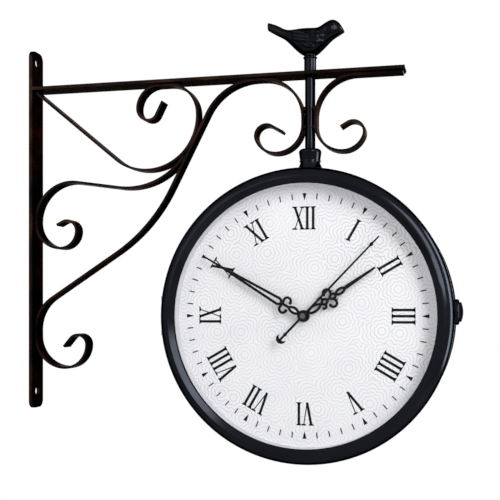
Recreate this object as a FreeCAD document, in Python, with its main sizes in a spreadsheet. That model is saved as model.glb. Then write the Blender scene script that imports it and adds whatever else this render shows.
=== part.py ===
import FreeCAD, Part

import math
import os
import re

import Sketcher

# Double-sided clock on a wrought bracket, in millimetres.
# The wall is the plane x = 0, +x leads away from it, the front dial faces -y and +z is up.
# The origin lies midway between the two screw holes, on the back of the wall strap.

SIZES = {
    # Flat bars of the bracket
    "bar_width": 20.0,
    "bar_thickness": 3.0,
    "strap_length": 290.0,
    "strap_foot_reach": 4.5,
    "strap_corner": 6.0,
    "screw_spacing": 272.0,
    "screw_hole": 8.0,
    "arm_height": 114.5,
    "arm_thickness": 2.5,
    "arm_overhang": 73.0,
    "arm_bevel": 1.5,
    # Hanger rod, its collar and the neck that turns on it
    "rod_reach": 232.5,
    "rod_diameter": 8.0,
    "rod_head_radius": 7.0,
    "rod_head_thickness": 3.0,
    "rod_socket_depth": 11.0,
    "swivel_clearance": 0.06,
    "swivel_gap": 0.3,
    "rod_hole_clearance": 0.4,
    "collar_radius": 8.75,
    "collar_height": 8.8,
    "collar_edge": 2.6,
    "collar_taper": 0.85,
    "neck_radius": 7.6,
    "neck_height": 11.7,
    "neck_rim": 0.75,
    "neck_foot_radius": 17.0,
    "neck_flare_height": 10.6,
    "neck_flare_radius": 14.0,
    # Scroll straps
    "scroll_width": 12.0,
    "scroll_thickness": 2.0,
    "rod_loop_radius": 31.5,
    "rod_flat": 5.5,
    "rod_curl_radius": 21.0,
    "rod_curl_end_radius": 17.0,
    "rod_curl_end_angle": 68.0,
    "rod_tip_radius": 8.6,
    "rod_tip_angle": 142.0,
    "rod_tip_length": 10.0,
    "end_tip_length": 6.0,
    "brace_flat": 5.0,
    "brace_bend_radius": 45.0,
    "brace_slope_angle": 62.85,
    "brace_straight": 65.2,
    "brace_sweep_radius": 132.6,
    "brace_foot_angle": 32.7,
    "brace_foot_bend": 31.0,
    "brace_foot_flat": 5.0,
    "brace_foot_radius": 26.0,
    "brace_curl_radius": 19.0,
    "brace_tip_radius": 8.0,
    "brace_tip_angle": 140.0,
    "brace_tip_length": 9.0,
    "middle_start": 14.0,
    "middle_lean_angle": 8.0,
    "middle_rise_angle": 8.3,
    "middle_bend_share": 0.6,
    "middle_loop_radius": 32.0,
    "middle_foot_radius": 22.0,
    "middle_curl_radius": 14.0,
    "middle_tip_radius": 8.5,
    "middle_tip_angle": 117.0,
    "middle_tip_length": 5.5,
    "upper_belly_radius": 42.0,
    "upper_belly_angle": 4.65,
    "upper_loop_radius": 24.0,
    "upper_flat": 8.0,
    "upper_shoulder_radius": 18.0,
    "upper_curl_radius": 9.5,
    "upper_tip_radius": 7.0,
    "upper_tip_angle": 63.0,
    "upper_tip_length": 12.0,
    # Weld beads beside each line where a scroll touches
    "bead_radius": 1.5,
    "bead_offset": 7.0,
    # Bird finial
    "sleeve_radius": 4.7,
    "bird_lift": 12.5,
    "bird_length": 60.5,
    "bird_height": 28.5,
    "bird_width": 21.0,
    # Clock case
    "dial_drop": 185.0,
    "drum_radius": 108.0,
    "drum_wall": 1.5,
    "drum_half_depth": 29.0,
    "door_gap": 0.3,
    "bezel_radius": 110.0,
    "bezel_side": 5.0,
    "bezel_rise": 7.3,
    "bezel_crown_radius": 9.0,
    "ridge_inset": 7.6,
    "lip_radius": 98.0,
    "lip_drop": 2.7,
    "lip_thickness": 1.6,
    "step_depth": 2.0,
    "step_clearance": 0.5,
    "glass_overlap": 2.9,
    "glass_thickness": 2.0,
    "glass_clearance": 0.3,
    "sleeve_wall": 1.8,
    "crimp_thickness": 1.5,
    "spacer_depth": 10.2,
    "spacer_wall": 2.6,
    "dial_thickness": 1.0,
    "dial_hole_clearance": 0.3,
    # Hinge of the front door, at nine o'clock
    "hinge_inset": 1.0,
    "hinge_length": 30.0,
    "hinge_middle": 10.0,
    "hinge_radius": 2.2,
    "hinge_notch": 0.4,
    "hinge_gap": 0.2,
    "hinge_leaf_depth": 17.0,
    "hinge_leaf_thickness": 1.2,
    "hinge_leaf_reach": 6.0,
    "hinge_pin_radius": 1.5,
    "hinge_clearance": 0.05,
    # Push-button catch, at three o'clock
    "latch_height": 3.0,
    "latch_level": 14.0,
    "latch_radius": 9.5,
    "latch_thickness": 5.0,
    "button_radius": 7.2,
    "button_height": 4.0,
    "button_crown": 1.4,
    "button_travel": 2.5,
    "button_gap": 0.2,
    "button_rise": 2.6,
    "stem_radius": 3.0,
    "stem_clearance": 0.1,
    "stem_length": 11.1,
    "stem_flange_radius": 5.0,
    "stem_flange_thickness": 1.6,
    "stem_flange_gap": 0.9,
    "tongue_width": 6.0,
    "tongue_thickness": 3.5,
    "tongue_gap": 0.3,
    "spring_thickness": 0.5,
    # Quartz movement behind each dial
    "movement_width": 56.0,
    "movement_wall": 1.5,
    "movement_depth": 12.0,
    "cover_depth": 6.0,
    "battery_wall_drop": 10.0,
    "battery_radius": 7.2,
    "battery_length": 49.0,
    "battery_nub": 1.4,
    "battery_drop": 19.0,
    "battery_sink": 9.2,
    "bush_radius": 3.0,
    "bush_rise": 2.0,
    "nut_radius": 4.3,
    "nut_thickness": 1.6,
    "arbor_radius": 0.5,
    "minute_tube_radius": 1.45,
    "hour_tube_radius": 2.25,
    "tube_clearance": 0.05,
    "motion_module": 0.5,
    "train_module": 0.25,
    "wheel_thickness": 0.9,
    "layer_pitch": 2.0,
    "pinion_overlap": 0.35,
    "post_radius": 0.6,
    "motion_arbor_radius": 1.0,
    "knob_radius": 7.0,
    "knob_thickness": 4.0,
    "knob_gap": 0.4,
    "rotor_radius": 2.5,
    "rotor_height": 2.2,
    "stator_thickness": 0.8,
    "stator_air_gap": 0.6,
    "coil_radius": 1.9,
    "coil_length": 20.0,
    "coil_core_radius": 0.8,
    "coil_rise": 20.5,
    "board_thickness": 1.0,
    "board_width": 14.0,
    "board_height": 20.0,
    # Hands
    "hand_thickness": 0.6,
    "hour_hand_level": 3.2,
    "minute_hand_level": 5.4,
    "second_hand_level": 7.4,
    "arbor_end": 0.6,
    "hand_wire": 1.9,
    "hand_ball_radius": 1.2,
    "hand_hub_radius": 4.5,
    "hub_lap": 0.6,
    "stem_lap": 0.8,
    "hour_hand_length": 64.0,
    "hour_leaf_end": 15.6,
    "hour_leaf_width": 4.2,
    "hour_lower_knot": 18.9,
    "hour_upper_knot": 26.2,
    "hour_knot_length": 4.6,
    "hour_knot_width": 3.8,
    "hour_eye_start": 28.8,
    "hour_eye_end": 37.2,
    "hour_eye_width": 3.6,
    "hour_small_lean_angle": 115.0,
    "hour_small_reach": 1.6,
    "hour_small_curl": 1.6,
    "hour_small_turn_angle": 100.0,
    "hour_large_lean_angle": 84.0,
    "hour_large_reach": 2.4,
    "hour_large_curl": 2.65,
    "hour_large_turn_angle": 186.0,
    "hour_thorn_width": 2.0,
    "hour_thorn_height": 3.1,
    "hour_blade_lap": 2.0,
    "hour_blade_swell": 1.2,
    "hour_blade_width": 3.0,
    "hour_tip_width": 1.5,
    "minute_hand_length": 90.0,
    "minute_leaf_end": 12.8,
    "minute_leaf_width": 3.8,
    "minute_curl_level": 18.3,
    "minute_lean_angle": 83.0,
    "minute_reach": 3.1,
    "minute_curl": 2.7,
    "minute_turn_angle": 190.0,
    "minute_fork_level": 19.4,
    "minute_fork_angle": 15.0,
    "minute_fork_radius": 3.1,
    "minute_rail_end": 64.8,
    "minute_rail_gap": 0.9,
    "minute_blade_lap": 3.0,
    "minute_blade_width": 2.3,
    "minute_tip_width": 1.0,
    "second_hand_length": 81.0,
    "second_tail_length": 26.0,
    "second_hub_radius": 2.5,
    "needle_width": 1.7,
    "needle_tip_width": 1.1,
    "lozenge_width": 2.9,
    "moon_radius": 3.8,
    "moon_thickness": 2.8,
}

# Sizes that follow from the driving ones
DERIVED = {
    "arm_underside": "arm_height - arm_thickness",
    "arm_reach": "rod_reach + arm_overhang",
    "dial_centre": "arm_underside - dial_drop",
    "rod_radius": "rod_diameter / 2",
    "drum_bore": "drum_radius - drum_wall",
    "neck_top": "dial_centre + drum_radius + neck_height",
    "rod_foot": "dial_centre + drum_bore - swivel_gap - rod_head_radius ^ 2 / drum_bore",
    "scroll_line": "arm_underside - scroll_thickness / 2",
    "strap_line": "bar_thickness + scroll_thickness / 2",
    "shoulder": "drum_half_depth + bezel_side",
    "ridge": "shoulder + bezel_rise",
    "ridge_radius": "bezel_radius - ridge_inset",
    "lip_front": "ridge - lip_drop",
    "lip_back": "lip_front - lip_thickness",
    "glass_radius": "lip_radius + glass_overlap",
    "glass_back": "lip_back - glass_thickness",
    "dial_face": "glass_back - spacer_depth",
    "dial_back": "dial_face - dial_thickness",
    "rim_inner": "glass_radius + glass_clearance",
    "rim_outer": "rim_inner + sleeve_wall",
    "rim_back": "dial_back - crimp_thickness",
    "step_radius": "drum_bore - step_clearance",
    "drum_front": "drum_half_depth - door_gap",
    "hinge_x": "bezel_radius - hinge_inset",
    "latch_face": "drum_radius + latch_thickness",
    "latch_floor": "latch_face - button_height + button_gap",
    "button_back": "latch_floor + button_rise",
    "button_dome": "(button_radius ^ 2 / button_crown + button_crown) / 2",
    "case_floor": "dial_back - movement_wall",
    "case_back": "dial_back - movement_depth",
    "cover_back": "case_back - cover_depth",
    "cover_floor": "cover_back + movement_wall",
}

# Teeth of each meshing pair, the driver first
MOTION_TEETH = {
    "cannon_teeth": 10,
    "motion_wheel_teeth": 30,
    "motion_pinion_teeth": 8,
    "hour_wheel_teeth": 32,
}
TRAIN_TEETH = {
    "centre_wheel_teeth": 64,
    "third_pinion_teeth": 8,
    "third_wheel_teeth": 60,
    "second_pinion_teeth": 8,
    "second_wheel_teeth": 40,
    "step_pinion_teeth": 8,
    "step_wheel_teeth": 48,
    "rotor_pinion_teeth": 8,
}

# Directions from one arbor to the next, in degrees from the dial's three o'clock
MOTION_DIRECTION = 150.0
THIRD_DIRECTION = 20.0
STEP_DIRECTION = 100.0
ROTOR_DIRECTION = 80.0

# The time at rest, as clockwise angles from twelve
HAND_ANGLES = {"hour": 56.0, "minute": 300.5, "second": 44.0}

doc = FreeCAD.newDocument("bracket_clock")
sheet = doc.addObject("Spreadsheet::Sheet", "Sizes")
for row, (alias, number) in enumerate(SIZES.items(), start=1):
    sheet.set(f"A{row}", alias)
    sheet.set(f"B{row}", str(number))
    sheet.setAlias(f"B{row}", alias)
doc.recompute()

NODES = []
X_AXIS = FreeCAD.Vector(1, 0, 0)
Y_AXIS = FreeCAD.Vector(0, 1, 0)
Z_AXIS = FreeCAD.Vector(0, 0, 1)
# Turns a piece drawn on its back so that its front looks along -y, or along +y at the rear
FACING = {
    "front": FreeCAD.Rotation(X_AXIS, 90),
    "rear": FreeCAD.Rotation(Z_AXIS, 180).multiply(FreeCAD.Rotation(X_AXIS, 90)),
}
UPRIGHT = FreeCAD.Rotation()
ALONG = {"x": FreeCAD.Rotation(Y_AXIS, 90), "y": FreeCAD.Rotation(X_AXIS, -90), "z": UPRIGHT}


def formula(text):
    """Write a formula over the sheet's sizes, with derived sizes opened up."""

    def opened(match):
        word = match.group()
        if word in DERIVED:
            return "(" + formula(DERIVED[word]) + ")"
        return "Sizes." + word if word in SIZES else word

    return re.sub(r"[a-z_]+", opened, str(text))


def value(text):
    """The number that a formula has now."""
    return float(sheet.evalExpression(formula(text)))


def bind(thing, links):
    """Bind properties of an object to formulas."""
    for name, text in links.items():
        thing.setExpression(name, formula(text))
    return thing


def place(thing, rotation, x="0", y="0", z="0"):
    """Turn an object and bind its position."""
    thing.Placement = FreeCAD.Placement(FreeCAD.Vector(value(x), value(y), value(z)), rotation)
    return bind(thing, {"Placement.Base.x": x, "Placement.Base.y": y, "Placement.Base.z": z})


def on_side(thing, side):
    """Put a piece drawn about the clock's centre, its front upwards, on one side of the clock."""
    return place(thing, FACING[side], "rod_reach", "0", "dial_centre")


def keep(thing, label):
    """Give a finished sub-part its name."""
    thing.Label = label
    NODES.append(thing)
    return thing


def cylinder(radius, height, rotation=UPRIGHT, at=("0", "0", "0")):
    """A round bar from its foot along its axis."""
    bar = doc.addObject("Part::Cylinder", "bar")
    bind(bar, {"Radius": radius, "Height": height})
    return place(bar, rotation, *at)


def block(length, width, height, at=("0", "0", "0")):
    """A box from its lowest corner."""
    box = doc.addObject("Part::Box", "block")
    bind(box, {"Length": length, "Width": width, "Height": height})
    return place(box, UPRIGHT, *at)


def joined(*shapes):
    """Several shapes made one."""
    whole = doc.addObject("Part::MultiFuse", "joined")
    whole.Shapes = list(shapes)
    return whole


def cut(base, *tools):
    """A shape with others taken out of it."""
    result = doc.addObject("Part::Cut", "cut")
    result.Base = base
    result.Tool = tools[0] if len(tools) == 1 else joined(*tools)
    return result


def solid(shape, name="shape"):
    """A shape worked out in code."""
    feature = doc.addObject("Part::Feature", name)
    feature.Shape = shape
    return feature


def moved(shape, shift, angle=0.0):
    """A shape turned about the z axis and shifted, with the move worked into its geometry."""
    move = FreeCAD.Placement(shift, FreeCAD.Rotation(Z_AXIS, angle))
    return shape.transformed(move.toMatrix(), True)


def arc_centre(start, end, radius, side):
    """The centre of a short arc between two points, turning left for side 1 and right for -1."""
    chord = end - start
    lift = math.sqrt(max(radius**2 - chord.Length**2 / 4, 0))
    across = FreeCAD.Vector(-chord.y, chord.x, 0).normalize()
    return (start + end) / 2 + across * lift * side


def outline(body, plane, corners):
    """A closed sketch through corners (x, y), or (x, y, radius, side) where an arc leads there."""
    sketch = body.newObject("Sketcher::SketchObject", "outline")
    support = next(f for f in body.Origin.OriginFeatures if f.Role == plane)
    sketch.AttachmentSupport = [(support, "")]
    sketch.MapMode = "FlatFace"
    spots = [FreeCAD.Vector(value(c[0]), value(c[1]), 0) for c in corners]
    ends = []
    for index, start in enumerate(spots):
        target = corners[(index + 1) % len(corners)]
        end = spots[(index + 1) % len(spots)]
        if len(target) == 2:
            sketch.addGeometry(Part.LineSegment(start, end), False)
            ends.append((1, 2))
            continue
        radius, side = value(target[2]), target[3]
        centre = arc_centre(start, end, radius, side)
        first, last = (start, end) if side > 0 else (end, start)
        angles = [math.atan2(p.y - centre.y, p.x - centre.x) for p in (first, last)]
        sketch.addGeometry(Part.ArcOfCircle(Part.Circle(centre, Z_AXIS, radius), *angles), False)
        ends.append((1, 2) if side > 0 else (2, 1))
    for index, (near, far) in enumerate(ends):
        following = (index + 1) % len(ends)
        sketch.addConstraint(Sketcher.Constraint("Coincident", index, far, following, ends[following][0]))
    for index, corner in enumerate(corners):
        for axis, text in (("DistanceX", corner[0]), ("DistanceY", corner[1])):
            amount = value(text)
            link = sketch.addConstraint(Sketcher.Constraint(axis, -1, 1, index, ends[index][0], amount))
            sketch.setExpression(f"Constraints[{link}]", formula(text))
        if len(corner) > 2:
            arc = (index - 1) % len(ends)
            link = sketch.addConstraint(Sketcher.Constraint("Radius", arc, value(corner[2])))
            sketch.setExpression(f"Constraints[{link}]", formula(corner[2]))
    return sketch


def turned(name, corners):
    """A lathe-turned piece: its half section (radius, height) spun about the z axis."""
    body = doc.addObject("PartDesign::Body", name)
    sketch = outline(body, "XZ_Plane", corners)
    spin = body.newObject("PartDesign::Revolution", "spin")
    spin.Profile = sketch
    spin.ReferenceAxis = (sketch, ["V_Axis"])
    spin.Angle = 360
    body.Tip = spin
    return body


def plate(name, plane, corners, thickness):
    """A flat piece padded from its outline."""
    body = doc.addObject("PartDesign::Body", name)
    pad = body.newObject("PartDesign::Pad", "pad")
    pad.Profile = outline(body, plane, corners)
    bind(pad, {"Length": thickness})
    body.Tip = pad
    return body


class Route:
    """A line of straight runs and arcs, each tangent to the one before."""

    def __init__(self, point, heading):
        self.point = FreeCAD.Vector(point[0], point[1], 0)
        self.heading = heading
        self.pieces = []
        self.circle = None

    @staticmethod
    def spoke(angle):
        return FreeCAD.Vector(math.cos(math.radians(angle)), math.sin(math.radians(angle)), 0)

    def run(self, length):
        """Go straight on."""
        end = self.point + self.spoke(self.heading) * length
        self.pieces.append(("line", self.point, end))
        self.point = end
        return self

    def roll(self, radius, side):
        """Take up a circle on the left (side 1) or the right (side -1)."""
        centre = self.point + self.spoke(self.heading + 90 * side) * radius
        self.circle = (centre, radius, side)
        return self

    def turn(self, angle):
        """Follow the circle through an angle."""
        centre, radius, side = self.circle
        start = self.heading - 90 * side
        self.pieces.append(("arc", centre, radius, start, angle * side))
        self.heading += angle * side
        self.point = centre + self.spoke(start + angle * side) * radius
        return self

    def turn_to(self, heading):
        """Follow the circle until a heading is reached."""
        return self.turn((heading - self.heading) * self.circle[2] % 360)

    def leave(self, target, radius=0.0, side=None):
        """Leave the circle on the straight line that touches the next one, or runs to a point."""
        centre, own, turn = self.circle
        target = FreeCAD.Vector(target[0], target[1], 0)
        side = turn if side is None else side
        reach = own - radius if side == turn else own + radius
        gap = target - centre
        bearing = math.degrees(math.atan2(gap.y, gap.x))
        spoke_angle = bearing - turn * math.degrees(math.acos(reach / gap.Length))
        self.turn_to(spoke_angle + 90 * turn)
        landing = target + self.spoke(spoke_angle) * (radius if side == turn else -radius)
        self.run((landing - self.point).Length)
        self.circle = (target, radius, side)
        return self


    def down_along(self, line, radius):
        """Run straight on to a bend on the left that ends heading down along an upright line."""
        ahead = self.spoke(self.heading)
        self.run((line + radius * (1 + ahead.y) - self.point.x) / ahead.x)
        return self.roll(radius, 1).turn_to(270)


def backwards(pieces):
    """The same line, followed from its other end."""
    flipped = []
    for piece in reversed(pieces):
        if piece[0] == "line":
            flipped.append(("line", piece[2], piece[1]))
        else:
            flipped.append(("arc", piece[1], piece[2], piece[3] + piece[4], -piece[4]))
    return flipped


def mirrored(pieces):
    """The same line on the other side of the y axis."""

    def over(point):
        return FreeCAD.Vector(-point.x, point.y, 0)

    flipped = []
    for piece in pieces:
        if piece[0] == "line":
            flipped.append(("line", over(piece[1]), over(piece[2])))
        else:
            flipped.append(("arc", over(piece[1]), piece[2], 180 - piece[3], -piece[4]))
    return flipped


def side_edge(piece, offset):
    """One edge of a ribbon: the piece moved to its left by an offset."""
    if piece[0] == "line":
        along = (piece[2] - piece[1]).normalize()
        across = FreeCAD.Vector(-along.y, along.x, 0) * offset
        return [piece[1] + across, piece[2] + across]
    centre, radius, start, sweep = piece[1:]
    reach = radius - offset if sweep > 0 else radius + offset
    return [centre + Route.spoke(start + sweep * part) * reach for part in (0, 0.5, 1)]


def ribbon(pieces, width, depth):
    """A strip of constant width along a line, raised to a depth."""

    def edge(points):
        if len(points) == 2:
            return Part.LineSegment(*points).toShape()
        return Part.Arc(*points).toShape()

    left = [side_edge(piece, width / 2) for piece in pieces]
    right = [side_edge(piece, -width / 2)[::-1] for piece in reversed(pieces)]
    edges = [edge(points) for points in left]
    edges.append(edge([left[-1][-1], right[0][0]]))
    edges += [edge(points) for points in right]
    edges.append(edge([right[-1][-1], left[0][0]]))
    return Part.Face(Part.Wire(edges)).extrude(Z_AXIS * depth)


# Bracket


def wall_strap():
    """The upright bar on the wall, rounded at its corners, with two screw holes and a longer foot."""
    half_width, half_length = "bar_width / 2", "strap_length / 2"
    corners = [
        (f"-({half_width})", f"-({half_length} + strap_foot_reach)"),
        (half_width, f"-({half_length} + strap_foot_reach)"),
        (half_width, half_length),
        (f"-({half_width})", half_length),
    ]
    body = plate("strap_blank", "YZ_Plane", corners, "bar_thickness")
    pad = body.Tip
    doc.recompute()
    corner_edges = [
        f"Edge{number}"
        for number, edge in enumerate(body.Shape.Edges, start=1)
        if abs(edge.Vertexes[0].X - edge.Vertexes[-1].X) > 0.1
    ]
    rounding = body.newObject("PartDesign::Fillet", "rounding")
    rounding.Base = (pad, corner_edges)
    bind(rounding, {"Radius": "strap_corner"})
    body.Tip = rounding
    holes = [
        cylinder("screw_hole / 2", "bar_thickness * 3", ALONG["x"], ("-bar_thickness", "0", height))
        for height in ("screw_spacing / 2", "-screw_spacing / 2")
    ]
    keep(cut(body, *holes), "wall_strap")


def arm_bar():
    """The level bar, laid flat, with a bevelled end and a hole for the hanger rod."""
    corners = [
        ("bar_thickness", "arm_underside"),
        ("arm_reach - arm_bevel", "arm_underside"),
        ("arm_reach", "arm_underside + arm_bevel"),
        ("arm_reach", "arm_height"),
        ("bar_thickness", "arm_height"),
    ]
    body = plate("arm_blank", "XZ_Plane", corners, "bar_width")
    body.Tip.Midplane = True
    below = ("rod_reach", "0", "arm_underside - arm_thickness")
    hole = cylinder("rod_radius", "arm_thickness * 3", UPRIGHT, below)
    keep(cut(body, hole), "arm_bar")


def scroll_routes():
    """The centre lines of the four scrolls, and the lines where they touch other bars."""
    level = value("scroll_line")
    thickness = value("scroll_thickness")
    loop = value("rod_loop_radius")
    rod_side = value("rod_radius + scroll_thickness / 2")

    def rod_curl(route, side, tip_length):
        """Round under the arm, down along the rod and into a narrowing curl."""
        route.roll(loop, side).turn(90).run(value("rod_flat"))
        route.roll(value("rod_curl_radius"), side).turn(90)
        route.roll(value("rod_curl_end_radius"), side).turn(value("rod_curl_end_angle"))
        return route.roll(value("rod_tip_radius"), side).turn(value("rod_tip_angle")).run(tip_length)

    def wind(route, *turns):
        """Round a row of arcs on the left, each given by its radius and its angle."""
        for radius, angle in turns:
            route.roll(value(radius), 1).turn(angle)
        return route

    # The brace: from its curl at the rod, under the arm, down to its curl on the wall strap
    touch = (value("rod_reach") - rod_side - loop, level)
    upper = rod_curl(Route(touch, 0), -1, value("rod_tip_length"))
    lower = Route(touch, 180).run(value("brace_flat"))
    wind(lower, ("brace_bend_radius", value("brace_slope_angle"))).run(value("brace_straight"))
    straight = lower.pieces[-1]
    lower.roll(value("brace_sweep_radius"), -1).turn_to(180 + value("brace_foot_angle"))
    brace_foot = lower.down_along(value("strap_line"), value("brace_foot_bend")).point
    lower.run(value("brace_foot_flat"))
    wind(lower, ("brace_foot_radius", 90), ("brace_curl_radius", 90))
    wind(lower, ("brace_tip_radius", value("brace_tip_angle"))).run(value("brace_tip_length"))
    brace = backwards(upper.pieces) + lower.pieces

    # The upper scroll: from the corner of strap and arm, round a belly that touches the straight of
    # the brace, along the arm and into its curl
    along = (straight[2] - straight[1]).normalize()
    towards_wall = FreeCAD.Vector(along.y, -along.x, 0)
    belly, ring = value("upper_belly_radius"), value("upper_loop_radius")
    rise = value("upper_belly_angle")
    to_ring = Route.spoke(rise) * (belly - ring)
    belly_z = level - ring - to_ring.y
    distance = straight[1].dot(towards_wall) + belly + thickness
    belly_x = (distance - belly_z * towards_wall.y) / towards_wall.x
    ring_x = belly_x + to_ring.x
    outward = Route((ring_x, level), 0).roll(ring, -1).turn(90 - rise).roll(belly, -1)
    outward.leave((value("bar_thickness + scroll_thickness * 0.34"), level + thickness * 0.1))
    inward = Route((ring_x, level), 180).run(value("upper_flat"))
    wind(inward, ("upper_shoulder_radius", 90), ("upper_curl_radius", 90))
    wind(inward, ("upper_tip_radius", value("upper_tip_angle"))).run(value("upper_tip_length"))
    upper_scroll = backwards(outward.pieces) + inward.pieces
    meeting = FreeCAD.Vector(belly_x, belly_z, 0) - towards_wall * (belly + thickness / 2)

    # The middle scroll: from the wedge below the upper scroll, round a bend that takes its share of
    # the room beside the wall, and straight on to its curl on the wall strap
    start = meeting + along * value("middle_start") + towards_wall * thickness / 2
    heading = 180 + value("brace_slope_angle - middle_lean_angle")
    rising = Route.spoke(180 - value("middle_rise_angle"))
    side_loop = value("middle_loop_radius")
    room = start.x - value("strap_line") - side_loop * (1 + rising.y)
    bend = room * value("middle_bend_share") / (rising.y - Route.spoke(heading).y)
    middle = Route((start.x, start.y), heading).roll(bend, -1)
    middle.turn_to(180 - value("middle_rise_angle"))
    middle_foot = middle.down_along(value("strap_line"), side_loop).point
    wind(middle, ("middle_foot_radius", 90), ("middle_curl_radius", 90))
    wind(middle, ("middle_tip_radius", value("middle_tip_angle"))).run(value("middle_tip_length"))

    # The end scroll: flat under the arm's end, then down past the rod into its curl
    bend_x = value("rod_reach") + rod_side + loop
    end = Route((value("arm_reach - arm_bevel"), level), 180)
    rod_curl(end.run(end.point.x - bend_x), 1, value("end_tip_length"))

    routes = {
        "upper_scroll": upper_scroll,
        "middle_scroll": middle.pieces,
        "brace_scroll": brace,
        "end_scroll": end.pieces,
    }
    half = thickness / 2
    arm = FreeCAD.Vector(1, 0, 0)
    wall = FreeCAD.Vector(0, 1, 0)
    touches = [
        (FreeCAD.Vector(ring_x, level + half, 0), arm),
        (FreeCAD.Vector(touch[0], level + half, 0), arm),
        (FreeCAD.Vector(value("bar_thickness"), brace_foot.y, 0), wall),
        (FreeCAD.Vector(value("bar_thickness"), middle_foot.y, 0), wall),
        (FreeCAD.Vector(value("rod_reach - rod_radius"), level - loop, 0), wall),
        (FreeCAD.Vector(value("rod_reach + rod_radius"), level - loop, 0), wall),
        (meeting, along),
    ]
    return routes, touches


def scrolls():
    """The four scroll straps and the weld beads beside the lines where they touch."""
    routes, touches = scroll_routes()
    width, thickness = value("scroll_width"), value("scroll_thickness")
    shift = FreeCAD.Vector(0, width / 2, 0)
    bars = []
    for name, pieces in routes.items():
        strap = solid(ribbon(pieces, thickness, width), name)
        strap.Placement = FreeCAD.Placement(shift, FACING["front"])
        bars.append(keep(strap, name))
    doc.recompute()
    metal = bars[0].Shape.fuse([bar.Shape for bar in bars[1:] + NODES[:2]])
    rod = Part.makeCylinder(value("rod_radius"), value("strap_length"))
    rod.translate(FreeCAD.Vector(value("rod_reach"), 0, -value("strap_length") / 2))
    radius, offset = value("bead_radius"), value("bead_offset")
    beads = []
    for spot, along in touches:
        for side in (1, -1):
            middle = spot + along * offset * side
            foot = FreeCAD.Vector(middle.x, width / 2 - 1, middle.y)
            bead = Part.makeCylinder(radius, width - 2, foot, -Y_AXIS)
            beads += [piece for piece in bead.cut([metal, rod]).Solids if piece.Volume > radius]
    weld = solid(Part.makeCompound(beads), "weld_beads")
    keep(weld, "weld_beads")


def hanger_rod():
    """The round rod from the bird through the arm to the head that carries the clock."""
    foot = "rod_foot - rod_head_thickness"
    at = ("rod_reach", "0", foot)
    stem = cylinder("rod_radius", f"arm_height + rod_socket_depth - ({foot})", UPRIGHT, at)
    head = cylinder("rod_head_radius", "rod_head_thickness", UPRIGHT, at)
    keep(joined(stem, head), "hanger_rod")


def swivel_collar():
    """The barrel-shaped collar fixed on the rod, just above the neck."""
    corners = [
        ("rod_radius", "0"),
        ("collar_radius - collar_taper", "0"),
        ("collar_radius", "collar_height - collar_edge"),
        ("collar_radius - collar_edge", "collar_height", "collar_edge", 1),
        ("rod_radius", "collar_height"),
    ]
    collar = turned("swivel_collar", corners)
    keep(place(collar, UPRIGHT, "rod_reach", "0", "neck_top + swivel_gap"), "swivel_collar")


def neck():
    """The flared neck on top of the drum, with a narrow rim, which turns on the rod."""
    bore = "rod_radius + swivel_clearance"
    top = "drum_radius + neck_height"
    corners = [
        (bore, "drum_radius - neck_height"),
        ("neck_foot_radius", "drum_radius - neck_height"),
        ("neck_foot_radius", "drum_radius + neck_rim / 2"),
        ("neck_radius", "drum_radius + neck_flare_height", "neck_flare_radius", -1),
        ("neck_radius", f"{top} - neck_rim"),
        ("neck_radius + neck_rim", f"{top} - neck_rim"),
        ("neck_radius + neck_rim", top),
        (bore, top),
    ]
    blank = place(turned("neck_blank", corners), UPRIGHT, "rod_reach", "0", "dial_centre")
    keep(cut(blank, drum_space()), "neck")


# Bird finial: stations from tail to beak as shares of its length, with top, underside and half width
BIRD_STATIONS = [
    ("tail_tip", 0.0, 1.0, 0.80, 0.22),
    ("tail", 0.146, 0.861, 0.594, 0.30),
    ("rump", 0.236, 0.736, 0.506, 0.42),
    ("back", 0.34, 0.749, 0.262, 0.72),
    ("flank", 0.41, 0.784, 0.126, 0.90),
    ("belly", 0.50, 0.791, 0.0, 1.0),
    ("breast", 0.617, 0.777, 0.0, 1.0),
    ("shoulder", 0.67, 0.778, 0.085, 0.94),
    ("nape", 0.74, 0.881, 0.206, 0.80),
    ("crown", 0.84, 0.972, 0.424, 0.72),
    ("brow", 0.925, 0.866, 0.519, 0.48),
    ("beak", 0.965, 0.745, 0.56, 0.22),
    ("beak_tip", 1.0, 0.635, 0.60, 0.05),
]


def bird_finial():
    """A small cast bird with its socket, which slips over the rod's top."""
    length, height, width = value("bird_length"), value("bird_height"), value("bird_width")
    tail_x = value("rod_reach") - length * 0.556
    base = value("arm_height + bird_lift")
    rings = []
    for _name, share, top, low, half in BIRD_STATIONS:
        centre = FreeCAD.Vector(tail_x + share * length, 0, base + (top + low) / 2 * height)
        tall, wide = (top - low) / 2 * height, half * width / 2
        major, minor = max(tall, wide), min(tall, wide)
        ellipse = Part.Ellipse(FreeCAD.Vector(), major, minor)
        ring = Part.Wire(ellipse.toShape())
        # Each ring stands across the bird, its long axis upright or level
        long_axis, short_axis = (Z_AXIS, -Y_AXIS) if tall >= wide else (Y_AXIS, Z_AXIS)
        ring.Placement = FreeCAD.Placement(centre, FreeCAD.Rotation(long_axis, short_axis, X_AXIS, "ZXY"))
        rings.append(ring)
    bird = Part.makeLoft(rings, True, False)
    foot = FreeCAD.Vector(value("rod_reach"), 0, value("arm_height"))
    socket = Part.makeCylinder(value("sleeve_radius"), value("bird_lift") + height * 0.3, foot)
    ring = Part.makeTorus(value("sleeve_radius"), 0.8, foot + Z_AXIS * (value("bird_lift") - 0.6))
    bore = Part.makeCylinder(value("rod_radius"), value("rod_socket_depth"), foot)
    keep(solid(bird.fuse([socket, ring]).cut(bore).removeSplitter(), "bird_finial"), "bird_finial")


# Clock case


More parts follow.
